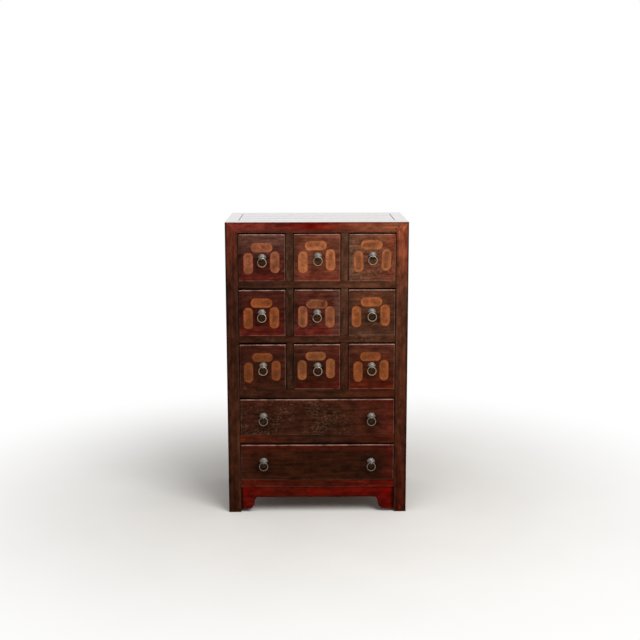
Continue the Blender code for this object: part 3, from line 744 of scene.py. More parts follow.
@dataclass(frozen=True)
class PaleFloor:
    """Matt pale plaster floor that runs out into white.

    The eye gets a quiet ground that keeps the chest's shadow and has no far edge.

    Attributes:
        colour: Colour under the chest.
        near: Distance in metres from the chest at which it starts to run out.
        far: Distance in metres at which it is white.
    """

    colour: str = "#e6e3de"
    near: float = 0.35
    far: float = 1.6

    def material(self, name: str) -> Material:
        """Build the floor's finish.

        Args:
            name: Name of the material.

        Returns:
            The material.
        """
        made, tree, place = start_material(name)
        cloud = add_node(tree, "TexNoise", {"Vector": place, "Scale": per_metre(300.0)})
        tone = add_node(tree, "MapRange", {0: cloud, **MOST, 3: 0.98, 4: 1.02})
        colour = add_node(tree, "HueSaturation", {"Value": tone, "Color": linear(self.colour)})
        matt = add_node(tree, "BsdfDiffuse", {"Color": colour})
        white = add_node(tree, "Emission", {"Strength": 1.0})
        away = add_node(tree, "VectorMath", {0: place}, operation="LENGTH").outputs["Value"]
        span = {0: away, 1: self.near, 2: self.far}
        away = add_node(tree, "MapRange", span, interpolation_type="SMOOTHSTEP")
        straight = add_node(tree, "LightPath").outputs["Is Camera Ray"]
        share = add_node(tree, "Math", {0: away, 1: straight}, operation="MULTIPLY")
        mixed = add_node(tree, "MixShader", {0: share, 1: matt, 2: white})
        add_node(tree, "OutputMaterial", {"Surface": mixed})
        return made


def to_mesh(shape: BMesh, name: str, smooth: bool = False, **marks: Sequence[float]) -> Mesh:
    """Turn a bmesh into a mesh.

    Args:
        shape: The bmesh, which is freed.
        name: Name of the mesh.
        smooth: Whether its faces are shaded smooth.
        marks: Under each name that a finish reads, a value for each vertex.

    Returns:
        The mesh.
    """
    bmesh.ops.recalc_face_normals(shape, faces=shape.faces[:])
    for face in shape.faces:
        face.smooth = smooth
    mesh = bpy.data.meshes.new(name)
    shape.to_mesh(mesh)
    shape.free()
    for mark, values in marks.items():
        mesh.attributes.new(mark, "FLOAT", "POINT").data.foreach_set("value", values)
    return mesh


def show_piece(
    mesh: Mesh,
    finishes: Sequence[Material],
    body: str,
    slot: str,
    place: Sequence[float] = (0.0, 0.0, 0.0),
    arris: float = 0.0,
    name: str = "",
) -> Object:
    """Show a mesh as a piece that rides on a body.

    Args:
        mesh: Its mesh, in the piece's own coordinates.
        finishes: Materials in the order of the mesh's material numbers.
        body: Body that carries it.
        slot: Name of a material slot; not used.
        place: Where its origin goes.
        arris: Width in metres by which sharp edges are eased.
        name: Name of the piece, if it isn't its mesh's.

    Returns:
        The piece.
    """
    piece = bpy.data.objects.new(name or mesh.name, mesh)
    bpy.context.scene.collection.objects.link(piece)
    for _ in range(len(finishes) - len(mesh.materials)):
        mesh.materials.append(None)
    for holder, finish in zip(piece.material_slots, finishes):
        holder.link = "OBJECT"
        holder.material = finish
    piece.location = place
    if arris:
        bevel = piece.modifiers.new("eased_arris", "BEVEL")
        bevel.width = arris
        bevel.segments = 2
        bevel.limit_method = "ANGLE"
        bevel.angle_limit = math.radians(40)
    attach(piece, body)
    LOG.info("%s rides on %s", piece.name, body)
    return piece


def add_block(shape: BMesh, low: Sequence[float], high: Sequence[float], number: int = 0) -> None:
    """Add a block to a bmesh.

    Args:
        shape: The bmesh.
        low: Lowest corner.
        high: Highest corner.
        number: Material number of its faces.
    """
    low, high = Vector(low), Vector(high)
    place = Matrix.Translation((low + high) / 2) @ Matrix.Diagonal((*(high - low), 1.0))
    made = bmesh.ops.create_cube(shape, size=1.0, matrix=place)["verts"]
    for face in {face for vert in made for face in vert.link_faces}:
        face.material_index = number


def around(count: int) -> list[tuple[float, float]]:
    """Return the cosine and the sine of each of a number of even steps around a circle."""
    turns = [math.tau * step / count for step in range(count)]
    return [(math.cos(turn), math.sin(turn)) for turn in turns]


def join_rows(
    shape: BMesh,
    rows: Sequence[Sequence[BMVert]],
    covers: Sequence[int] = (0, -1),
    closed: bool = False,
) -> list[BMFace]:
    """Put a skin over rows of corners that each run once around a form.

    Args:
        shape: The bmesh.
        rows: Rows with the same number of corners.
        covers: Rows that are covered with one face.
        closed: Whether the last row is joined to the first one.

    Returns:
        The new faces.
    """
    faces = [shape.faces.new(rows[at]) for at in covers]
    following = [*rows[1:], rows[0]] if closed else rows[1:]
    for first, second in zip(rows, following):
        for at, corner in enumerate(first):
            after = (at + 1) % len(first)
            faces.append(shape.faces.new((corner, first[after], second[after], second[at])))
    return faces


def add_prism(
    shape: BMesh,
    outline: Sequence[tuple[float, float]],
    axis: Axis,
    near: float,
    far: float,
    number: int = 0,
) -> None:
    """Add a prism to a bmesh.

    Args:
        shape: The bmesh.
        outline: Corners in the plane of the two other axes, in their order.
        axis: Axis along which the outline is drawn out.
        near: Where it starts.
        far: Where it ends.
        number: Material number of its faces.
    """
    rows = []
    for level in (near, far):
        places = [list(corner) for corner in outline]
        for place in places:
            place.insert(axis.value, level)
        rows.append([shape.verts.new(place) for place in places])
    for face in join_rows(shape, rows):
        face.material_index = number


def add_tube(
    shape: BMesh, path: Sequence[Vector], radii: Sequence[float], sides: int, closed: bool
) -> list[list[BMVert]]:
    """Sweep a round wire along a path that lies in one plane.

    Args:
        shape: The bmesh.
        path: Points of the middle line.
        radii: Wire radius at each point.
        sides: Number of sides of the wire.
        closed: Whether the path ends where it starts.

    Returns:
        The corners of each section, which start on the side that faces the path's plane.
    """
    count = len(path)
    flat = (path[count // 3] - path[0]).cross(path[2 * count // 3] - path[0]).normalized()
    sections = []
    for at, (point, radius) in enumerate(zip(path, radii)):
        before = path[at - 1] if at or closed else point
        after = path[(at + 1) % count] if at + 1 < count or closed else point
        side = (after - before).normalized().cross(flat)
        places = [point + radius * (across * side + up * flat) for across, up in around(sides)]
        sections.append([shape.verts.new(place) for place in places])
    join_rows(shape, sections, () if closed else (0, -1), closed)
    return sections


def ease(value: float, near: float, far: float) -> float:
    """Return how far a value has gone from near to far, from 0 to 1 with soft ends."""
    share = min(max((value - near) / (far - near), 0.0), 1.0)
    return share * share * (3 - 2 * share)


@dataclass
class Carcass:
    """The jointed frame, whose solids are shown as they are imported.

    Attributes:
        bare_behind: Depth in metres of the lacquered front of rails and partitions.
    """

    bare_behind: float = 0.030

    def finishes(self) -> dict[str, AgedLacquer]:
        """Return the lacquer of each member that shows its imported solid, by its node."""
        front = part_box("post_front_left")[0].y
        behind = front / MM
        upright = {"drift": Axis.Z, "grain": Axis.Z, "edge_share": 0.2}
        olive = {"flake": "#625540", "bare_from": front + self.bare_behind}
        # Painted light in the stops: posts and partitions grow lighter upwards, and the right ones
        # are lighter than the left ones, where more light falls; the rest is their own colour
        posts = {
            Side.LEFT: ((0, "#301509"), (250, "#3f2013"), (750, "#391c13"), (960, "#5e281b")),
            Side.RIGHT: ((0, "#3c1006"), (300, "#472214"), (730, "#563020"), (960, "#90482f")),
        }
        partitions = {
            Side.LEFT: ((420, "#2f180e"), (920, "#40271b")),
            Side.RIGHT: ((420, "#391a0f"), (920, "#533424")),
        }
        # The dark band at the outer arris stays on the front face: behind it the posts' own brown
        # returns
        browns = {Side.LEFT: "#40211a", Side.RIGHT: "#552d1f"}
        made = {"lower_rail_back": AgedLacquer(PLAIN_BROWN, seed=13.0)}
        for number, side in enumerate(Side):
            out = side.value
            dark = (
                Fade(Axis.X, out * 284, out * 292, "#120704", 0.75),
                Fade(Axis.X, out * 262, out * 255, "#3c2619", 0.60),
                Fade(Axis.Y, behind + 2, behind + 8, browns[side], 0.85),
            )
            post = AgedLacquer(posts[side], **upright)
            partition = AgedLacquer(partitions[side], **upright, **olive, flake_share=0.6)
            for name, finish, seed in (
                ("post_front", replace(post, fades=dark), 1.0),
                ("post_back", post, 3.0),
                ("side_panel", replace(post, red_share=0.4), 9.0),
                ("lower_rail", AgedLacquer(PLAIN_BROWN, grain=Axis.Y), 11.0),
                ("partition", partition, 14.0),
            ):
                made[f"{name}_{side.word}"] = replace(finish, seed=seed + number)
        # Painted light in the stops: the top, second and third rails grow lighter towards the
        # right, where more light falls; the rest is their own colour
        shelves = {
            "top": {"stops": ((-250, "#341d13"), (250, "#523020"))},
            "second": {"stops": ((-250, "#361910"), (250, "#4a2b1c"))},
            "third": {"stops": ((-250, "#361a0f"), (60, "#371d11"), (250, "#4a2011"))},
            "upper": {
                "stops": ((-250, "#4b1d0e"), (0, "#2f1b11"), (250, "#47190c")),
                # Painted shade: the rail's lower edge goes near black above the gap below it
                "fades": (Fade(Axis.Z, 240, 235, "#0d0503", 0.85),),
                "red_share": 0.3,
            },
            "lower": {
                "stops": ((-250, "#4a1408"), (0, "#3c1509"), (250, "#580f05")),
                "red_share": 0.35,
                "rubbed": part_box("shelf_lower")[0].z / MM,
            },
        }
        for number, (word, look) in enumerate(shelves.items()):
            usual = {**olive, "red_share": 0.1, "flake_share": 0.35, "seed": 16.0 + number}
            made[f"shelf_{word}"] = AgedLacquer(**{**usual, **look})
        return made

    def dress(self, nodes: dict[str, Object]) -> None:
        """Give each solid its lacquer.

        Args:
            nodes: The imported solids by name.
        """
        for name, finish in self.finishes().items():
            solid = nodes[name]
            solid.material_slots[0].link = "OBJECT"
            solid.material_slots[0].material = finish.material(f"aged_lacquer_{name}")
            LOG.info("%s dressed", name)


@dataclass
class TopFrame:
    """The four members around the top panel, mitred to each other and to the posts.

    Attributes:
        rounding: Rounding of the outer arrises.
        band: Depth from the outer face within which an arris counts as an outer one.
        seam: How far each end stands back from its mitre, which has opened a hair with age.
    """

    rounding: float = 0.0015
    band: float = 0.02
    seam: float = 0.0004

    def finishes(self) -> dict[str, AgedLacquer]:
        """Return the lacquer of each member below its top face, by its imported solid."""
        front = (
            (-290, "#863429"),
            (-110, "#62231a"),
            (-20, "#690b04"),
            (60, "#652416"),
            (150, "#7c412c"),
            (290, "#935034"),
        )
        # Darker towards the lower edge, and in a thin band just under the top arris
        darker_bands = (
            Fade(Axis.Z, 945, 929, "#3f271c", 0.72),
            Fade(Axis.Z, 953, 960, "#2a0f08", 0.60),
        )
        return {
            "top_rail_front": AgedLacquer(
                front, fades=darker_bands, red_share=0.3, edge_share=0.15, seed=5.0
            ),
            "top_rail_back": AgedLacquer(PLAIN_BROWN, seed=6.0),
            "top_end_left": AgedLacquer(PLAIN_BROWN, grain=Axis.Y, seed=7.0),
            "top_end_right": AgedLacquer(PLAIN_BROWN, grain=Axis.Y, seed=8.0),
        }

    def corners(self, name: str) -> list[tuple[float, float, float]]:
        """Return the corners of one member.

        Args:
            name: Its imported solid.

        Returns:
            Four corners on the top and four on the underside.
        """
        low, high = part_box(name)
        post_low, post_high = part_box("post_front_left")
        wide, post = -post_low.x, post_high.x - post_low.x
        front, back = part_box("top_rail_front")[0].y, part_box("top_rail_back")[1].y
        inner_front, inner_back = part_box("top_rail_front")[1].y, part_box("top_rail_back")[0].y
        inner = wide - post
        top, base = high.z, low.z
        if "rail" in name:
            outer, edge = (front, inner_front) if "front" in name else (back, inner_back)
            tip, heel = wide - self.seam, inner - self.seam
            upper = [(-tip, outer), (tip, outer), (heel, edge), (-heel, edge)]
            lower = [(-inner, outer), (inner, outer), (inner, edge), (-inner, edge)]
        else:
            side = Side.LEFT if "left" in name else Side.RIGHT
            wide, inner = side.value * wide, side.value * inner
            upper = [(wide, front + self.seam), (wide, back - self.seam)]
            upper += [(inner, inner_back - self.seam), (inner, inner_front + self.seam)]
            lower = [(x, y) for x in (wide, inner) for y in (front + post, back - post)]
        return [(x, y, top) for x, y in upper] + [(x, y, base) for x, y in lower]

    def build(self, polish: Material) -> None:
        """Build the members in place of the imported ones.

        Args:
            polish: Finish of the rails' top faces.
        """
        ends = replace(POLISHED_TOP, grain=Axis.Y, seed=36.0).material("polished_lacquer_ends")
        aligned, upward = 0.99, 0.6
        for name, finish in self.finishes().items():
            shape = bmesh.new()
            for corner in self.corners(name):
                shape.verts.new(corner)
            bmesh.ops.convex_hull(shape, input=shape.verts[:])
            bmesh.ops.dissolve_limit(
                shape, angle_limit=0.01, verts=shape.verts[:], edges=shape.edges[:]
            )
            along = Axis.X if "rail" in name else Axis.Y
            across = 1 - along.value
            outer = max(abs(vert.co[across]) for vert in shape.verts)
            rim = []
            for edge in shape.edges:
                run = (edge.verts[0].co - edge.verts[1].co).normalized()
                depth = outer - min(abs(vert.co[across]) for vert in edge.verts)
                if abs(run[along.value]) > aligned and depth < self.band:
                    rim.append(edge)
            bmesh.ops.bevel(
                shape, geom=rim, offset=self.rounding, segments=3, profile=0.5, affect="EDGES"
            )
            shape.normal_update()
            for face in shape.faces:
                face.material_index = int(face.normal.z > upward)
            mesh = to_mesh(shape, f"mitred_{name}")
            lacquer = finish.material(f"aged_lacquer_{name}")
            faces = [lacquer, polish if along is Axis.X else ends]
            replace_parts(show_piece(mesh, faces, ROOT, "frame_lacquer"), name)


@dataclass
class TopBoards:
    """The top panel: three boards, glued edge to edge and polished.

    Attributes:
        count: Number of boards.
        joint: Width of the open glue line.
        thick: Thickness.
        gap: Gap to the frame around them.
        arris: Rounding of the edges.
    """

    count: int = 3
    joint: float = 0.0009
    thick: float = 0.016
    gap: float = 0.0006
    arris: float = 0.0022

    def build(self, polish: Material) -> None:
        """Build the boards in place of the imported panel.

        Args:
            polish: Their finish.
        """
        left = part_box("top_end_left")[1].x + self.gap
        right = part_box("top_end_right")[0].x - self.gap
        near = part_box("top_rail_front")[1].y + self.gap
        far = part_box("top_rail_back")[0].y - self.gap
        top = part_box("top_panel")[1].z
        pitch = (far - near + self.joint) / self.count
        for number in range(self.count):
            front = near + number * pitch
            shape = bmesh.new()
            back = front + pitch - self.joint
            add_block(shape, (left, front, top - self.thick), (right, back, top))
            mesh = to_mesh(shape, f"top_board_{number + 1}")
            board = show_piece(mesh, [polish], ROOT, "top_lacquer", arris=self.arris)
            if number == 0:
                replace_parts(board, "top_panel")


@dataclass
class BackBoards:
    """The back panel: upright boards of bare softwood with a bead of shadow between them.

    Attributes:
        count: Number of boards.
        joint: Width of the open joint.
        gap: Gap to the frame around them.
        arris: Rounding of the edges.
    """

    count: int = 4
    joint: float = 0.0008
    gap: float = 0.0003
    arris: float = 0.0012

    def build(self) -> None:
        """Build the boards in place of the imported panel."""
        low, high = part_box("back_panel")
        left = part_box("post_back_left")[1].x + self.gap
        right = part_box("post_back_right")[0].x - self.gap
        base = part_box("lower_rail_back")[1].z + self.gap
        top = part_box("top_rail_back")[0].z - self.gap
        pitch = (right - left + self.joint) / self.count
        for number in range(self.count):
            middle = Vector((left + (number + 0.5) * pitch, low.y, (base + top) / 2))
            half, tall = (pitch - self.joint) / 2, (top - base) / 2
            shape = bmesh.new()
            add_block(shape, (-half, 0, -tall), (half, high.y - low.y, tall))
            mesh = to_mesh(shape, f"back_board_{number + 1}")
            # Each board was sawn from another place in the trunk
            heart = (18.0 * math.sin(2.1 * number), 20.0 + 9.0 * (number % 2), 0.0)
            wood = AgedSoftwood("#8a6443", "#573822", Axis.Z, heart, seed=40.0 + 3 * number)
            finish = wood.material(f"aged_softwood_back_{number + 1}")
            board = show_piece(mesh, [finish], ROOT, "bare_wood", middle, self.arris)
            if number == 0:
                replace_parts(board, "back_panel")


@dataclass
class Apron:
    """The shaped board below the bottom rail, with a bracket at each end.

    Attributes:
        reach: How far the bracket's curve reaches inward.
        belly: How far inward the bracket is at its waist.
        toe: Width of the bracket's toe.
        waist: Level of the waist.
        base: Level of the straight underside.
        fuller: How much wider the right bracket is than the left one.
        fit: Gap to the rail above.
        steps: Points on each half of the curve.
        arris: Rounding of the edges.
    """

    reach: float = 0.056
    belly: float = 0.044
    toe: float = 0.028
    waist: float = 0.034
    base: float = 0.050
    fuller: float = 0.009
    fit: float = 0.0003
    steps: int = 14
    arris: float = 0.0014

    def outline(self, low: Vector, high: Vector, top: float) -> list[tuple[float, float]]:
        """Return the outline in X and Z.

        Args:
            low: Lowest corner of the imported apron.
            high: Its highest corner.
            top: Level of its upper edge.

        Returns:
            The corners in order.
        """
        end, foot = high.x, low.z
        toe = Vector((end - self.toe, foot))
        belly = Vector((end - self.belly, self.waist))
        reach = Vector((end - self.reach, self.base))
        flat = Vector(((self.belly - self.toe) / 2, 0))
        steep = Vector((0, (self.waist - foot) / 2))
        soft = Vector(((self.reach - self.belly) / 2, 0))
        rise = Vector((0, (self.base - self.waist) / 2))
        curve = interpolate_bezier(toe, toe - flat, belly - steep, belly, self.steps)
        curve += interpolate_bezier(belly, belly + rise, reach + soft, reach, self.steps)[1:]
        left = [(-end, top), (-end, foot), *((-point.x, point.y) for point in curve)]
        right = [(end, top), (end, foot), *((point.x - self.fuller, point.y) for point in curve)]
        return right + left[::-1]

    def build(self) -> None:
        """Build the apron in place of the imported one."""
        low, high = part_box("apron")
        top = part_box("shelf_lower")[0].z - self.fit
        shape = bmesh.new()
        add_prism(shape, self.outline(low, high, top), Axis.Y, low.y, high.y)
        mesh = to_mesh(shape, "apron_shaped")
        finish = AgedLacquer(
            (
                (-250, "#640502"),
                (-205, "#560d06"),
                (-120, "#4a1107"),
                (20, "#500d04"),
                (200, "#5c0a04"),
                (250, "#760300"),
            ),
            fades=(
                Fade(Axis.Z, 66, 54, "#2a0d08", 0.4),
                # Painted shadow: both ends go near black beside the posts
                Fade(Axis.X, -243, -247, "#1a0704", 0.9),
                Fade(Axis.X, 242, 246, "#1a0704", 0.9),
            ),
            red="#7e0604",
            red_share=0.35,
            flake_share=0.1,
            seed=21.0,
        ).material("aged_lacquer_apron")
        apron = show_piece(mesh, [finish], ROOT, "apron_lacquer", arris=self.arris)
        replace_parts(apron, "apron")


@dataclass
class CornerNails:
    """Two old iron nails driven beside the top mitre on the right.

    Attributes:
        places: Their places on the front in X and Z.
        radius: Radius of a head.
        height: Height of a head.
        sides: Number of corners around a head.
        uneven: How far a head is off round, as a share of its radius.
    """

    places: tuple[tuple[float, float], ...] = ((0.2600, 0.9460), (0.2515, 0.9392))
    radius: float = 0.0025
    height: float = 0.0006
    sides: int = 14
    uneven: float = 0.10

    def head_mesh(self) -> Mesh:
        """Return one low, hammered head."""
        shape = bmesh.new()
        rows = []
        # Share of the radius and of the height at each row
        for out, rise in ((1.0, 0.0), (0.96, 0.45), (0.75, 0.85), (0.4, 1.0)):
            row = []
            for across, up in around(self.sides):
                uneven = 1 + self.uneven * noise.noise(Vector((across, up, rise)))
                reach = self.radius * out * uneven
                row.append(shape.verts.new((reach * across, -rise * self.height, reach * up)))
            rows.append(row)
        join_rows(shape, rows)
        return to_mesh(shape, "nail_head", smooth=True)

    def build(self) -> None:
        """Build the nails on the front of the top rail."""
        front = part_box("top_rail_front")[0].y
        head = self.head_mesh()
        iron = PatinatedIron("#15100e", "#110d0b", "#080504", 0.7, 0.6).material("forged_iron_nail")
        for number, (x, z) in enumerate(self.places):
            name = f"corner_nail_{number + 1}"
            show_piece(head, [iron], ROOT, "boss_iron", (x, front, z), name=name)


@dataclass
class LabelSet:
    """The three painted labels around a small drawer's pull, left without any writing.

    Attributes:
        top: Middle of the lying label, in millimetres from the middle of the front.
        left: Middle of the standing label on the left.
        right: Middle of the standing label on the right.
        paint: Colour of their paint.
        loss: How much of each is lost to wear: top, left, right.
        lean: Turn of each in degrees: top, left, right.
        scale: Size against the usual label.
        length: Usual length in millimetres.
        breadth: Usual breadth in millimetres.
        squareness: Power of the ends' curve, of which 2 is a true half circle.
        wobble: How uneven the brushed outline is, as a share of its radius.
        points: Number of corners of an outline.
        loops: Loops of the face, as shares of the way from the outline to the middle line.
        film: Thickness of the paint in metres.
        lift: Gap between the lacquer and the paint in metres.
    """

    top: tuple[float, float]
    left: tuple[float, float]
    right: tuple[float, float]
    paint: str = "#9c5c38"
    loss: tuple[float, float, float] = (0.2, 0.2, 0.2)
    lean: tuple[float, float, float] = (0.0, 0.0, 0.0)
    scale: float = 1.0
    length: float = 70.0
    breadth: float = 31.0
    squareness: float = 2.1
    wobble: float = 0.045
    points: int = 64
    loops: tuple[float, ...] = (0.02, 0.12, 0.35, 0.6, 0.85, 0.97)
    film: float = 0.0002
    lift: float = 0.00004

    def outline(self, inward: float, seed: float) -> list[tuple[float, float]]:
        """Return a brushed, slightly uneven pill.

        Args:
            inward: Share of the way from the full outline to the middle line.
            seed: Offset that gives each label its own unevenness.

        Returns:
            The corners in metres, with the pill's length along the first coordinate.
        """
        radius = self.breadth * self.scale / 2
        straight = self.length * self.scale / 2 - radius
        corners = []
        for across, up in around(self.points):
            # Squarer than a true half circle, as a loaded brush leaves it
            square = abs(across) ** self.squareness + abs(up) ** self.squareness
            wobble = 1 + self.wobble * noise.noise(Vector((2.2 * across, 2.2 * up, seed)))
            reach = (1 - inward) * radius * square ** (-1 / self.squareness) * wobble
            side = straight if across > 0 else -straight
            corners.append(((side + reach * across) * MM, reach * up * MM))
        return corners

    def build(self, drawer: str, face: Vector, seed: float) -> None:
        """Build the labels on a drawer's front.

        Args:
            drawer: Body that carries them.
            face: Middle of the front's face.
            seed: Offset that gives each drawer its own labels.
        """
        places = {"top": self.top, "left": self.left, "right": self.right}
        inwards = (0.0, *self.loops)
        for number, (word, (x, z)) in enumerate(places.items()):
            own = seed + 1.7 * number
            shape = bmesh.new()
            rows = []
            for inward in inwards:
                level = -self.lift - self.film if inward else -self.lift
                corners = self.outline(inward, own)
                rows.append([shape.verts.new((across, level, up)) for across, up in corners])
            join_rows(shape, rows)
            inside = [inward for inward in inwards for _ in range(self.points)]
            mesh = to_mesh(shape, f"label_{word}_{drawer}", inside=inside)
            paint = LabelPaint(self.paint, loss=self.loss[number], seed=own)
            finish = paint.material(f"ochre_paint_{word}_{drawer}")
            place = face + Vector((x * MM, 0, z * MM))
            turn = (0 if word == "top" else 90) + self.lean[number]
            mesh.transform(Matrix.Rotation(math.radians(-turn), 4, "Y"))
            show_piece(mesh, [finish], drawer, "drawer_lacquer", place)


@dataclass
class Drawer:
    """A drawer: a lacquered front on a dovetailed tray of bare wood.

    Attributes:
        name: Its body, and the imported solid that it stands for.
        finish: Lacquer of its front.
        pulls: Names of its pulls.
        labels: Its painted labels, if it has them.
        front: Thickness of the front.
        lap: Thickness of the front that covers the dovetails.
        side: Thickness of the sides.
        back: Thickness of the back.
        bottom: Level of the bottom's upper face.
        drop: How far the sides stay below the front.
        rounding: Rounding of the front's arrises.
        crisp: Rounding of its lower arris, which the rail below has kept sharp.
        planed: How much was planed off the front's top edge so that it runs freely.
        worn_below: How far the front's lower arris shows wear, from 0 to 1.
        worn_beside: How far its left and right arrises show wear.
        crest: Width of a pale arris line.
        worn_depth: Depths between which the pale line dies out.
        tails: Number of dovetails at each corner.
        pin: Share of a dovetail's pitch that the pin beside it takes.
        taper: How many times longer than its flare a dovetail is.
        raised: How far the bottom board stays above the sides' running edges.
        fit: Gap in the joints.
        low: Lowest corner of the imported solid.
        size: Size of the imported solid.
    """

    name: str
    finish: AgedLacquer
    pulls: tuple[str, ...]
    labels: LabelSet | None = None
    front: float = 0.018
    lap: float = 0.006
    side: float = 0.009
    back: float = 0.009
    bottom: float = 0.007
    drop: float = 0.004
    rounding: float = 0.003
    crisp: float = 0.0008
    planed: float = 0.0
    worn_below: float = 0.5
    worn_beside: tuple[float, float] = (0.18, 0.32)
    crest: float = 0.0016
    worn_depth: tuple[float, float] = (0.0020, 0.0045)
    tails: int = 4
    pin: float = 0.24
    taper: float = 6.0
    raised: float = 0.0008
    fit: float = 0.0001
    low: Vector = field(init=False)
    size: Vector = field(init=False)

    def __post_init__(self) -> None:
        """Take the drawer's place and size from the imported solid."""
        self.low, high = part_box(self.name)
        self.size = high - self.low

    @property
    def face(self) -> Vector:
        """Middle of the front's face."""
        return Vector((self.low.x + self.size.x / 2, self.low.y, self.low.z + self.size.z / 2))

    def pull_places(self) -> dict[str, Vector]:
        """Return where each pull is set in the front, from the middle of the face."""
        places = {}
        for name in self.pulls:
            low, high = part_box(f"pull_{name}")
            away = (low + high) / 2 - self.face
            places[name] = Vector((away.x, 0, away.z))
        return places

    def tail_levels(self) -> list[tuple[float, float]]:
        """Return the lower and upper level of each dovetail at its wide end."""
        pitch = (self.size.z - self.drop) / self.tails
        pin = self.pin * pitch
        base = -self.size.z / 2
        return [
            (base + pitch * at + pin / 2, base + pitch * (at + 1) - pin / 2)
            for at in range(self.tails)
        ]

    def add_pins(
        self,
        shape: BMesh,
        gaps: Sequence[tuple[float, float]],
        neck: float,
        tip: float,
        number: int = 0,
    ) -> None:
        """Add the pins that fill the gaps between the dovetails of both sides.

        Args:
            shape: The bmesh.
            gaps: Lower and upper level of each gap at the dovetails' wide ends.
            neck: Place along Y where the dovetails are narrow, so that the pins are wide.
            tip: Place along Y where the dovetails end.
            number: Material number of the pins.
        """
        wide, tall = self.size.x / 2, self.size.z / 2
        slope = abs(neck - tip) / self.taper
        for side in Side:
            near, far = sorted((side.value * (wide - self.side), side.value * wide))
            for low, high in gaps:
                low, high = low + self.fit, high - self.fit
                # A pin at the front's upper or lower edge flares to one side only
                foot = max(low - slope, self.fit - tall)
                head = min(high + slope, tall - self.planed - self.fit)
                outline = [(tip, low), (neck, foot), (neck, head), (tip, high)]
                add_prism(shape, outline, Axis.X, near, far, number)

    def wear(self, place: Vector, line: float) -> float:
        """Return how pale a corner of the front is, by the arris that it is nearest to.

        Args:
            place: Place of the corner from the middle of the face.
            line: Height of the pale line along the lower arris.

        Returns:
            The share of the pale colour, from 0 to 1.
        """
        wide, tall = self.size.x / 2, self.size.z / 2
        over, under = place.z - tall + self.planed + self.rounding, -place.z - tall + line
        beside = abs(place.x) - wide + self.rounding
        crest = self.worn_beside[int(place.x > 0)] * ease(beside, 0.0, self.crest)
        # Painted highlight with wear: the top arris gets the full pale line
        if over >= beside:
            crest = ease(over, 0.0, self.crest)
        elif under >= beside:
            crest = self.worn_below * ease(under, 0.0, line - self.crisp)
        return crest * (1 - ease(place.y, *self.worn_depth))

    def front_mesh(self) -> Mesh:
        """Return the front, with rounded arrises before and pins behind."""
        wide, tall = self.size.x / 2, self.size.z / 2
        shape = bmesh.new()
        top = tall - self.planed
        add_block(shape, (-wide, 0, -tall), (wide, self.lap, top))
        # First the arrises beside and above, then the crisp one below with the ends of the others
        passes = ((False, NEAR, self.rounding), (True, self.rounding, self.crisp))
        for below, reach, offset in passes:
            rim = []
            for edge in shape.edges:
                depths = [vert.co.y for vert in edge.verts]
                before = min(depths) < reach - NEAR / 10 and max(depths) < reach + NEAR / 10
                low = all(vert.co.z < NEAR - tall for vert in edge.verts)
                if before and low == below:
                    rim.append(edge)
            bmesh.ops.bevel(
                shape, geom=rim, offset=offset, segments=5, profile=0.5, affect="EDGES"
            )
        # Cuts near the corners keep the pale line of each edge to that edge
        cut, line = 2 * self.rounding, 3 * self.crisp
        for place, across in (
            ((cut - wide, 0, 0), (1, 0, 0)),
            ((wide - cut, 0, 0), (1, 0, 0)),
            ((0, 0, line - tall), (0, 0, 1)),
            ((0, 0, top - cut), (0, 0, 1)),
        ):
            whole = shape.verts[:] + shape.edges[:] + shape.faces[:]
            bmesh.ops.bisect_plane(shape, geom=whole, plane_co=place, plane_no=across)
        inside = wide - self.side
        add_block(shape, (-inside, self.lap, -tall), (inside, self.front, top), 1)
        levels = self.tail_levels()
        gaps = zip([-tall] + [high for _, high in levels], [low for low, _ in levels] + [top])
        self.add_pins(shape, list(gaps), self.front, self.lap, 1)
        # Pale arris line: wear, and a painted highlight along the top arris
        worn = [self.wear(vert.co, line) for vert in shape.verts]
        return to_mesh(shape, f"front_{self.name}", worn=worn)

    def side_mesh(self, side: Side) -> Mesh:
        """Return one side with dovetails at both ends.

        Args:
            side: Which one.

        Returns:
            The mesh, in the drawer's own coordinates.
        """
        base, top = -self.size.z / 2, self.size.z / 2 - self.drop
        ends = ((self.front, self.lap + self.fit), (self.size.y - self.back, self.size.y))
        outline = []
        for number, (neck, tip) in enumerate(ends):
            slope = abs(neck - tip) / self.taper
            row = [(neck, base)]
            for low, high in self.tail_levels():
                row += [(neck, low + slope), (tip, low), (tip, high), (neck, high - slope)]
            row.append((neck, top))
            outline += row if number == 0 else row[::-1]
        wide = self.size.x / 2
        near, far = sorted((side.value * wide, side.value * (wide - self.side + self.fit)))
        shape = bmesh.new()
        add_prism(shape, outline, Axis.X, near, far)
        return to_mesh(shape, f"side_{side.word}_{self.name}")

    def back_mesh(self) -> Mesh:
        """Return the back with pins between the sides' dovetails."""
        base, top = -self.size.z / 2 + self.bottom, self.size.z / 2 - self.drop
        inside = self.size.x / 2 - self.side
        near, far = self.size.y - self.back, self.size.y
        shape = bmesh.new()
        add_block(shape, (-inside, near, base), (inside, far, top))
        levels = self.tail_levels()
        gaps = [(under, over) for (_, under), (over, _) in zip(levels, levels[1:])]
        self.add_pins(shape, gaps, near, far)
        return to_mesh(shape, f"back_{self.name}")

    def bottom_mesh(self) -> Mesh:
        """Return the bottom board, a little above the sides' running edges."""
        inside = self.size.x / 2 - self.side - self.fit
        base = -self.size.z / 2
        shape = bmesh.new()
        low = (-inside, self.front + self.fit, base + self.raised)
        add_block(shape, low, (inside, self.size.y, base + self.bottom - self.fit))
        return to_mesh(shape, f"bottom_{self.name}")

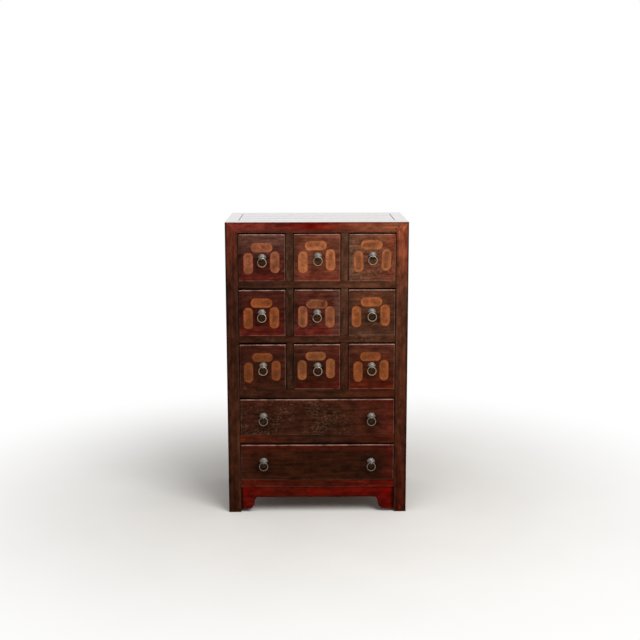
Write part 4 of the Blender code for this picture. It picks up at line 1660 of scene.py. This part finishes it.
    def build(self, seed: float) -> None:
        """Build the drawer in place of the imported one.

        Args:
            seed: Offset that gives each drawer its own wood and labels.
        """
        pulls = tuple((place.x, place.z) for place in self.pull_places().values())
        lacquer = replace(self.finish, pulls=pulls).material(f"aged_lacquer_{self.name}")
        across, deep = [
            AgedSoftwood(grain=grain, seed=seed).material(f"aged_softwood_{word}_{self.name}")
            for word, grain in (("across", Axis.X), ("deep", Axis.Y))
        ]
        faces = [lacquer, across]
        front = show_piece(self.front_mesh(), faces, self.name, "drawer_lacquer", self.face)
        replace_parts(front, self.name)
        for mesh, wood in (
            *((self.side_mesh(side), deep) for side in Side),
            (self.back_mesh(), across),
            (self.bottom_mesh(), deep),
        ):
            show_piece(mesh, [wood], self.name, "bare_wood", self.face)
        if self.labels:
            self.labels.build(self.name, self.face, seed)


@dataclass
class RingPull:
    """A domed boss, the split pin through it and the ring that hangs in the pin's eye.

    Attributes:
        boss_radius: Radius of the boss.
        boss_height: Height of the boss.
        seat: Gap between the boss and the drawer's face.
        rim: Width of the boss's flat rim.
        flange: Thickness of the rim.
        hollow: Size of the hollow where the dome meets the rim.
        sides: Number of corners around the boss.
        arc: Number of rows from the rim to the top of the dome.
        dent: Depth of the hammer's dents.
        dent_size: Size of a dent.
        dent_rise: Height above the rim at which the dents are full.
        shade: Height above and below the middle between which the boss's painted shade comes in.
        standoff: Distance of the eye's middle from the drawer's face.
        eye_radius: Radius of the eye's middle line.
        wire: Radius of the pin's wire in the eye.
        leg: Radius of the pin's legs.
        leg_length: Length of each leg, bent over inside.
        spread: Half the distance between the legs, in radii of a leg.
        neck: How far the legs reach out of the face before they open into the eye.
        gape: Half the angle of the eye's opening, in degrees.
        sooty: Places along Y between which black scale comes in on the pin.
        front: Thickness of the drawer's front.
        ring_radius: Radius of the ring's middle line.
        ring_wire: Radius of the ring's bar.
        uneven: How far the ring is off round.
    """

    boss_radius: float = 0.0130
    boss_height: float = 0.0090
    seat: float = 0.0003
    rim: float = 0.0011
    flange: float = 0.0009
    hollow: float = 0.0003
    sides: int = 40
    arc: int = 10
    dent: float = 0.00008
    dent_size: float = 0.0035
    dent_rise: float = 0.002
    shade: float = 0.0030
    standoff: float = 0.0122
    eye_radius: float = 0.0043
    wire: float = 0.0012
    leg: float = 0.00095
    leg_length: float = 0.0120
    spread: float = 1.05
    neck: float = 0.0060
    gape: float = 30.0
    sooty: tuple[float, float] = (-0.0105, -0.0085)
    front: float = 0.018
    ring_radius: float = 0.0132
    ring_wire: float = 0.0021
    uneven: float = 0.00012

    def boss_mesh(self) -> Mesh:
        """Return the hammered boss with its flat rim."""
        crown, peak = self.boss_radius - self.rim, self.boss_height + self.seat
        lip = self.seat + self.flange
        start = lip + self.hollow
        profile = [
            (self.boss_radius, self.seat),
            (self.boss_radius, lip),
            (crown + self.hollow, lip + self.hollow / 3),
        ]
        for step in range(self.arc):
            turn = math.pi / 2 * step / self.arc
            profile.append((crown * math.cos(turn), start + (peak - start) * math.sin(turn)))
        shape = bmesh.new()
        rows = []
        for radius, height in profile:
            row = []
            for across, up in around(self.sides):
                x, z = radius * across, radius * up
                dent = self.dent * noise.noise(Vector((x, height, z)) / self.dent_size)
                dent *= ease(height, start, start + self.dent_rise)
                squeeze = 1 - 4 * dent / self.boss_radius
                row.append(shape.verts.new((x * squeeze, dent - height, z)))
            rows.append(row)
        join_rows(shape, rows, covers=(0,))
        tip = shape.verts.new((0, -peak, 0))
        for at, corner in enumerate(rows[-1]):
            shape.faces.new((corner, rows[-1][(at + 1) % self.sides], tip))
        # Painted shade: the lower half of the boss is marked to go black
        scaled = [ease(-vert.co.z, -self.shade, self.shade) for vert in shape.verts]
        return to_mesh(shape, "boss_hammered", smooth=True, scaled=scaled)

    def pin_mesh(self) -> Mesh:
        """Return the split pin: its eye in front and its two legs bent over behind."""
        half, inside = self.leg * self.spread, self.front + self.leg
        upper = [
            Vector((0, inside, self.leg_length)),
            Vector((0, inside, 3 * half)),
            Vector((0, inside - 0.4 * half, 1.6 * half)),
            Vector((0, inside - 1.6 * half, half)),
            Vector((0, -self.neck, half)),
        ]
        eye, steps = [], 24
        for step in range(steps + 1):
            turn = math.radians(self.gape + (360 - 2 * self.gape) * step / steps)
            y = -self.standoff + self.eye_radius * math.cos(turn)
            eye.append(Vector((0, y, self.eye_radius * math.sin(turn))))
        lower = [Vector((0, point.y, -point.z)) for point in upper[::-1]]
        radii = [self.leg] * len(upper) + [self.wire] * len(eye) + [self.leg] * len(lower)
        shape = bmesh.new()
        add_tube(shape, upper + eye + lower, radii, 10, closed=False)
        scaled = [ease(vert.co.y, *self.sooty) for vert in shape.verts]
        return to_mesh(shape, "split_pin", smooth=True, scaled=scaled)

    def ring_mesh(self) -> Mesh:
        """Return the forged ring, a little uneven and thinner at the top from wear."""
        count, sides = 64, 12
        path, radii = [], []
        for up, across in around(count):
            out = Vector((across, 0, up))
            uneven = noise.noise(out * 2.3)
            path.append(out * (self.ring_radius - self.uneven * (1 + uneven)))
            radii.append(self.ring_wire * (0.95 + 0.04 * uneven - 0.06 * ease(out.z, 0.8, 1.0)))
        shape = bmesh.new()
        sections = add_tube(shape, path, radii, sides, closed=True)
        scaled = {}
        for point, section in zip(path, sections):
            for vert in section:
                inward = (vert.co - point).normalized().dot(-point.normalized())
                upper = ease(point.z / self.ring_radius, 0.0, 0.9)
                scaled[vert] = 0.9 * ease(inward, -0.1, 0.8) + 0.2 * upper
        values = [scaled[vert] for vert in shape.verts]
        bmesh.ops.translate(shape, verts=shape.verts[:], vec=(0, 0, -self.ring_radius))
        return to_mesh(shape, "ring_forged", smooth=True, scaled=values)

    def build(self, drawers: Sequence[Drawer]) -> None:
        """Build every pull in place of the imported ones.

        Args:
            drawers: Drawers that carry them.
        """
        bright = PatinatedIron("#c0ad93", "#8a7a62", "#2a1d12", 0.42)
        # Painted shade: the wide drawers' rings are darker and greyer, as they sit low where less
        # light falls
        dull = PatinatedIron("#958a7c", "#71695d", "#241a12", 0.46)
        boss_iron = PatinatedIron(metallic=0.5).material("forged_iron_boss")
        ring_iron = bright.material("forged_iron_ring")
        shaded_ring_iron = dull.material("forged_iron_ring_dull")
        boss, pin, ring = self.boss_mesh(), self.pin_mesh(), self.ring_mesh()
        for drawer in drawers:
            for label, place in drawer.pull_places().items():
                face = drawer.face + place
                fixed = ([boss_iron], drawer.name, "boss_iron", face)
                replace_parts(show_piece(boss, *fixed, name=f"boss_{label}"), f"pull_{label}")
                show_piece(pin, *fixed, name=f"pin_{label}")
                eye = face - Vector((0, self.standoff, 0))
                iron, body = ring_iron if drawer.labels else shaded_ring_iron, f"ring_{label}"
                piece = show_piece(ring, [iron], body, "ring_iron", eye, name=f"forged_{body}")
                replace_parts(piece, body)


@dataclass
class Studio:
    """The pale floor, the soft lamps and the camera at the photograph's place.

    Attributes:
        focal: Focal length in pixels of the photograph.
        frame: Side of the photograph in pixels.
        sensor: Width of the sensor in millimetres.
        pitch: How far the camera looks down, in degrees.
        yaw: How far it looks to the right, in degrees.
        roll: How far it is turned, in degrees.
        eye: Place of the camera.
        ambient: Brightness of the soft light from all around.
    """

    focal: float = 1131.2
    frame: float = 640.0
    sensor: float = 36.0
    pitch: float = 10.2305
    yaw: float = 0.6189
    roll: float = -0.0793
    eye: tuple[float, float, float] = (-0.02949, -3.75306, 1.2922)
    ambient: float = 0.52

    def place_camera(self) -> None:
        """Make the camera."""
        data = bpy.data.cameras.new("camera")
        data.sensor_width = self.sensor
        data.lens = self.focal * self.sensor / self.frame
        data.clip_end = 100.0
        pitch, yaw, roll = [math.radians(turn) for turn in (self.pitch, self.yaw, self.roll)]
        flat = math.cos(pitch)
        ahead = Vector((math.sin(yaw) * flat, math.cos(yaw) * flat, -math.sin(pitch)))
        right = Vector((math.cos(yaw), -math.sin(yaw), 0.0))
        up = right.cross(ahead)
        right, up = (
            math.cos(roll) * right + math.sin(roll) * up,
            math.cos(roll) * up - math.sin(roll) * right,
        )
        turn = Matrix((right, up, -ahead)).transposed().to_4x4()
        camera = bpy.data.objects.new("camera", data)
        camera.matrix_world = Matrix.Translation(self.eye) @ turn
        bpy.context.scene.collection.objects.link(camera)
        bpy.context.scene.camera = camera

    def lay_floor(self) -> None:
        """Make the floor."""
        shape = bmesh.new()
        bmesh.ops.create_grid(shape, x_segments=8, y_segments=8, size=20.0)
        mesh = to_mesh(shape, "floor")
        mesh.materials.append(PaleFloor().material("pale_plaster"))
        floor = bpy.data.objects.new("floor", mesh)
        bpy.context.scene.collection.objects.link(floor)

    def light(self) -> None:
        """Make the lamps and the white surroundings."""
        world = bpy.data.worlds.new("white_studio")
        world.use_nodes = True
        bpy.context.scene.world = world
        tree = world.node_tree
        tree.nodes.clear()
        soft = add_node(tree, "Background", {"Strength": self.ambient})
        # Mirror reflections see a white wall behind the chest and a dimmer room before it
        way = add_node(tree, "TexCoord").outputs["Generated"]
        way = add_node(tree, "SeparateXYZ", {0: way}).outputs["Y"]
        behind = add_node(tree, "MapRange", {0: way, 1: -0.3, 2: 0.3, 3: 0.15, 4: 1.0})
        rays = add_node(tree, "LightPath").outputs
        seen = rays["Is Camera Ray"]
        level = add_node(tree, "Math", {0: seen, 1: behind}, operation="MAXIMUM")
        white = add_node(tree, "Background", {"Color": (1, 1, 1, 1), "Strength": level})
        for kind in ("Is Glossy Ray", "Is Transmission Ray"):
            seen = add_node(tree, "Math", {0: seen, 1: rays[kind]}, operation="MAXIMUM")
        mixed = add_node(tree, "MixShader", {0: seen, 1: soft, 2: white})
        add_node(tree, "OutputWorld", {"Surface": mixed})
        for name, place, aim, size, power in (
            ("key", (1.5, -2.5, 2.8), (0, -0.15, 0.55), 1.8, 70.0),
            ("overhead", (0.2, -0.9, 3.3), (0, -0.1, 0.6), 2.0, 40.0),
        ):
            data = bpy.data.lights.new(name, "AREA")
            data.size = size
            data.energy = power
            lamp = bpy.data.objects.new(name, data)
            lamp.location = place
            away = Vector(place) - Vector(aim)
            lamp.rotation_euler = away.to_track_quat("Z", "Y").to_euler()
            bpy.context.scene.collection.objects.link(lamp)

    def build(self) -> None:
        """Set up the whole studio."""
        bpy.context.scene.view_settings.view_transform = "Standard"
        self.place_camera()
        self.lay_floor()
        self.light()


@dataclass(frozen=True)
class FrontLook:
    """How one small drawer's front has aged.

    Attributes:
        codes: Its colours at even steps from the lower edge to the upper one.
        labels: Its labels.
        flake_share: How much of it has crazed.
        flake_size: Size of a flake in millimetres.
        blush: How much red shows along its lower edge.
        pull_grime: How dark the soiling and painted ring shadow below its pull are.
        planed: How much was planed off its top edge, in millimetres.
        worn_below: How far its lower arris shows wear.
        fades: Other colours that come in across it.
    """

    codes: tuple[str, ...]
    labels: LabelSet
    flake_share: float
    flake_size: float = 8.0
    blush: float = 0.3
    pull_grime: float = 0.35
    planed: float = 1.1
    worn_below: float = 0.5
    fades: tuple[Fade, ...] = ()


def small_drawers() -> list[Drawer]:
    """Return the nine small drawers with their own lacquer and labels."""
    # Painted light in the colours: the fronts are darker row by row downwards, where less light
    # falls; the rest is each front's own tone
    looks = {
        "top_left": FrontLook(
            ("#4e1a13", "#431f17", "#5c3a30"),
            LabelSet((0, 32), (-43, -19), (42, -15), "#935439"),
            0.45,
            blush=0.0,
            pull_grime=0.3,
            planed=1.5,
        ),
        "top_middle": FrontLook(
            ("#6b3425", "#5c3122", "#6b3a29"),
            LabelSet((-4, 38), (-45, -15), (43, -8), "#aa643e", lean=(1, 0, 2)),
            0.40,
            blush=0.1,
            pull_grime=0.1,
            fades=(Fade(Axis.X, -40, -66, "#3a1c12", 0.35),),
        ),
        "top_right": FrontLook(
            ("#643826", "#623726", "#71402a"),
            LabelSet((-2, 40), (-44, -13), (45, -8), "#9b5b37", lean=(0, 2, -3)),
            0.80,
            flake_size=5.0,
            blush=0.0,
            pull_grime=0.0,
            planed=1.5,
            fades=(
                Fade(Axis.X, 18, 62, "#782d1a", 0.4),
                Fade(Axis.X, -15, -62, "#6c5040", 0.35),
            ),
        ),
        "second_left": FrontLook(
            ("#511c14", "#3c1710", "#431f17"),
            LabelSet((-2, 31), (-45, -19), (39, -17), "#8f4b26"),
            0.25,
            blush=0.15,
            planed=3.0,
        ),
        "second_middle": FrontLook(
            ("#58251d", "#461d15", "#51281e"),
            LabelSet((-1, 28), (-46, -14), (41, -15), "#945638", loss=(0.8, 0.2, 0.1)),
            0.40,
            pull_grime=0.2,
            planed=2.4,
            fades=(Fade(Axis.X, 36, 70, "#5d4236", 0.5),),
        ),
        "second_right": FrontLook(
            ("#503223", "#4e2f20", "#603725"),
            LabelSet((-2, 34), (-50, -14), (42, -10), "#96532d"),
            0.35,
            blush=0.0,
            pull_grime=0.6,
            planed=2.3,
            fades=(
                Fade(Axis.X, 28, 68, "#3c1e12", 0.45),
                Fade(Axis.X, -40, -68, "#2e160c", 0.3),
            ),
        ),
        "third_left": FrontLook(
            ("#371b0f", "#3f1c14"),
            LabelSet((-1, 30), (-46, -20), (43, -14), "#7a401f", scale=0.96),
            0.25,
            blush=0.0,
            planed=3.9,
            worn_below=0.1,
            fades=(Fade(Axis.Z, 40, 68, "#5a1c16", 0.15),),
        ),
        "third_middle": FrontLook(
            ("#3b170b", "#371a0f", "#4b251a"),
            LabelSet((-5, 34), (-49, -12), (43, -7), "#8b512f", scale=0.95),
            0.20,
            blush=0.1,
            pull_grime=0.2,
            planed=3.2,
            fades=(Fade(Axis.X, 30, 66, "#6a1812", 0.2),),
        ),
        "third_right": FrontLook(
            ("#491b0d", "#411d11", "#52291d"),
            LabelSet((-4, 32), (-44, -18), (40, -13), "#8a4a25", scale=0.97),
            0.35,
            blush=0.15,
            pull_grime=0.1,
            planed=2.5,
        ),
    }
    made = []
    # Millimetres from the middle of a small front to its upper edge
    half = 75.0
    for place, look in looks.items():
        step = 2 * half / (len(look.codes) - 1)
        finish = AgedLacquer(
            tuple((step * at - half, code) for at, code in enumerate(look.codes)),
            drift=Axis.Z,
            fades=(
                Fade(Axis.X, -48, -72, "#1f0d08", 0.33),
                Fade(Axis.Z, -42, -70, "#74140e", look.blush),
                *look.fades,
            ),
            flake_share=look.flake_share,
            flake_size=look.flake_size,
            edge_share=0.0,
            pull_grime=look.pull_grime,
            seed=50.0 + 4 * len(made),
        )
        made.append(
            Drawer(
                f"drawer_{place}",
                finish,
                (place,),
                look.labels,
                planed=look.planed * MM,
                worn_below=look.worn_below,
            )
        )
    return made


def wide_drawers() -> list[Drawer]:
    """Return the two drawers of full width."""
    plain = {"red_share": 0.15, "edge_share": 0.0, "pull_grime": 0.5}
    # Painted light in the colours: darker still than the small fronts, where less light falls this
    # low; the rest is their own tone
    finishes = {
        "upper": AgedLacquer(
            ((-250, "#3a1b11"), (60, "#371c10"), (250, "#4c1f13")),
            **plain,
            fades=(
                Fade(Axis.X, 212, 252, "#5c130c", 0.28),
                Fade(Axis.Z, 32, 58, "#551811", 0.32),
            ),
            flake="#6a5340",
            flake_share=0.68,
            flake_size=4.2,
            sound=(70, 120),
            seed=154.0,
        ),
        "lower": AgedLacquer(
            ((-250, "#3e1c11"), (-130, "#31160a"), (180, "#2e150a"), (250, "#38140b")),
            **plain,
            fades=(
                Fade(Axis.X, 212, 252, "#5c130c", 0.30),
                Fade(Axis.Z, 30, 58, "#5c150e", 0.45),
            ),
            flake_share=0.1,
            seed=105.0,
        ),
    }
    made = []
    for row, finish in finishes.items():
        pulls = (f"{row}_left", f"{row}_right")
        body = f"drawer_wide_{row}"
        made.append(Drawer(body, finish, pulls, planed=0.0025, worn_below=0.15, tails=3))
    return made


def main() -> None:
    """Build the chest's pieces in order, then the studio around them."""
    logging.basicConfig(level=logging.INFO, format="%(name)s: %(message)s")
    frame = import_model()
    Studio().build()
    Carcass().dress(frame["nodes"])
    polish = POLISHED_TOP.material("polished_lacquer_top")
    TopFrame().build(polish)
    TopBoards().build(polish)
    BackBoards().build()
    Apron().build()
    CornerNails().build()
    drawers = small_drawers() + wide_drawers()
    for number, drawer in enumerate(drawers):
        drawer.build(10.0 * number)
    RingPull().build(drawers)


if __name__ == "__main__":
    main()
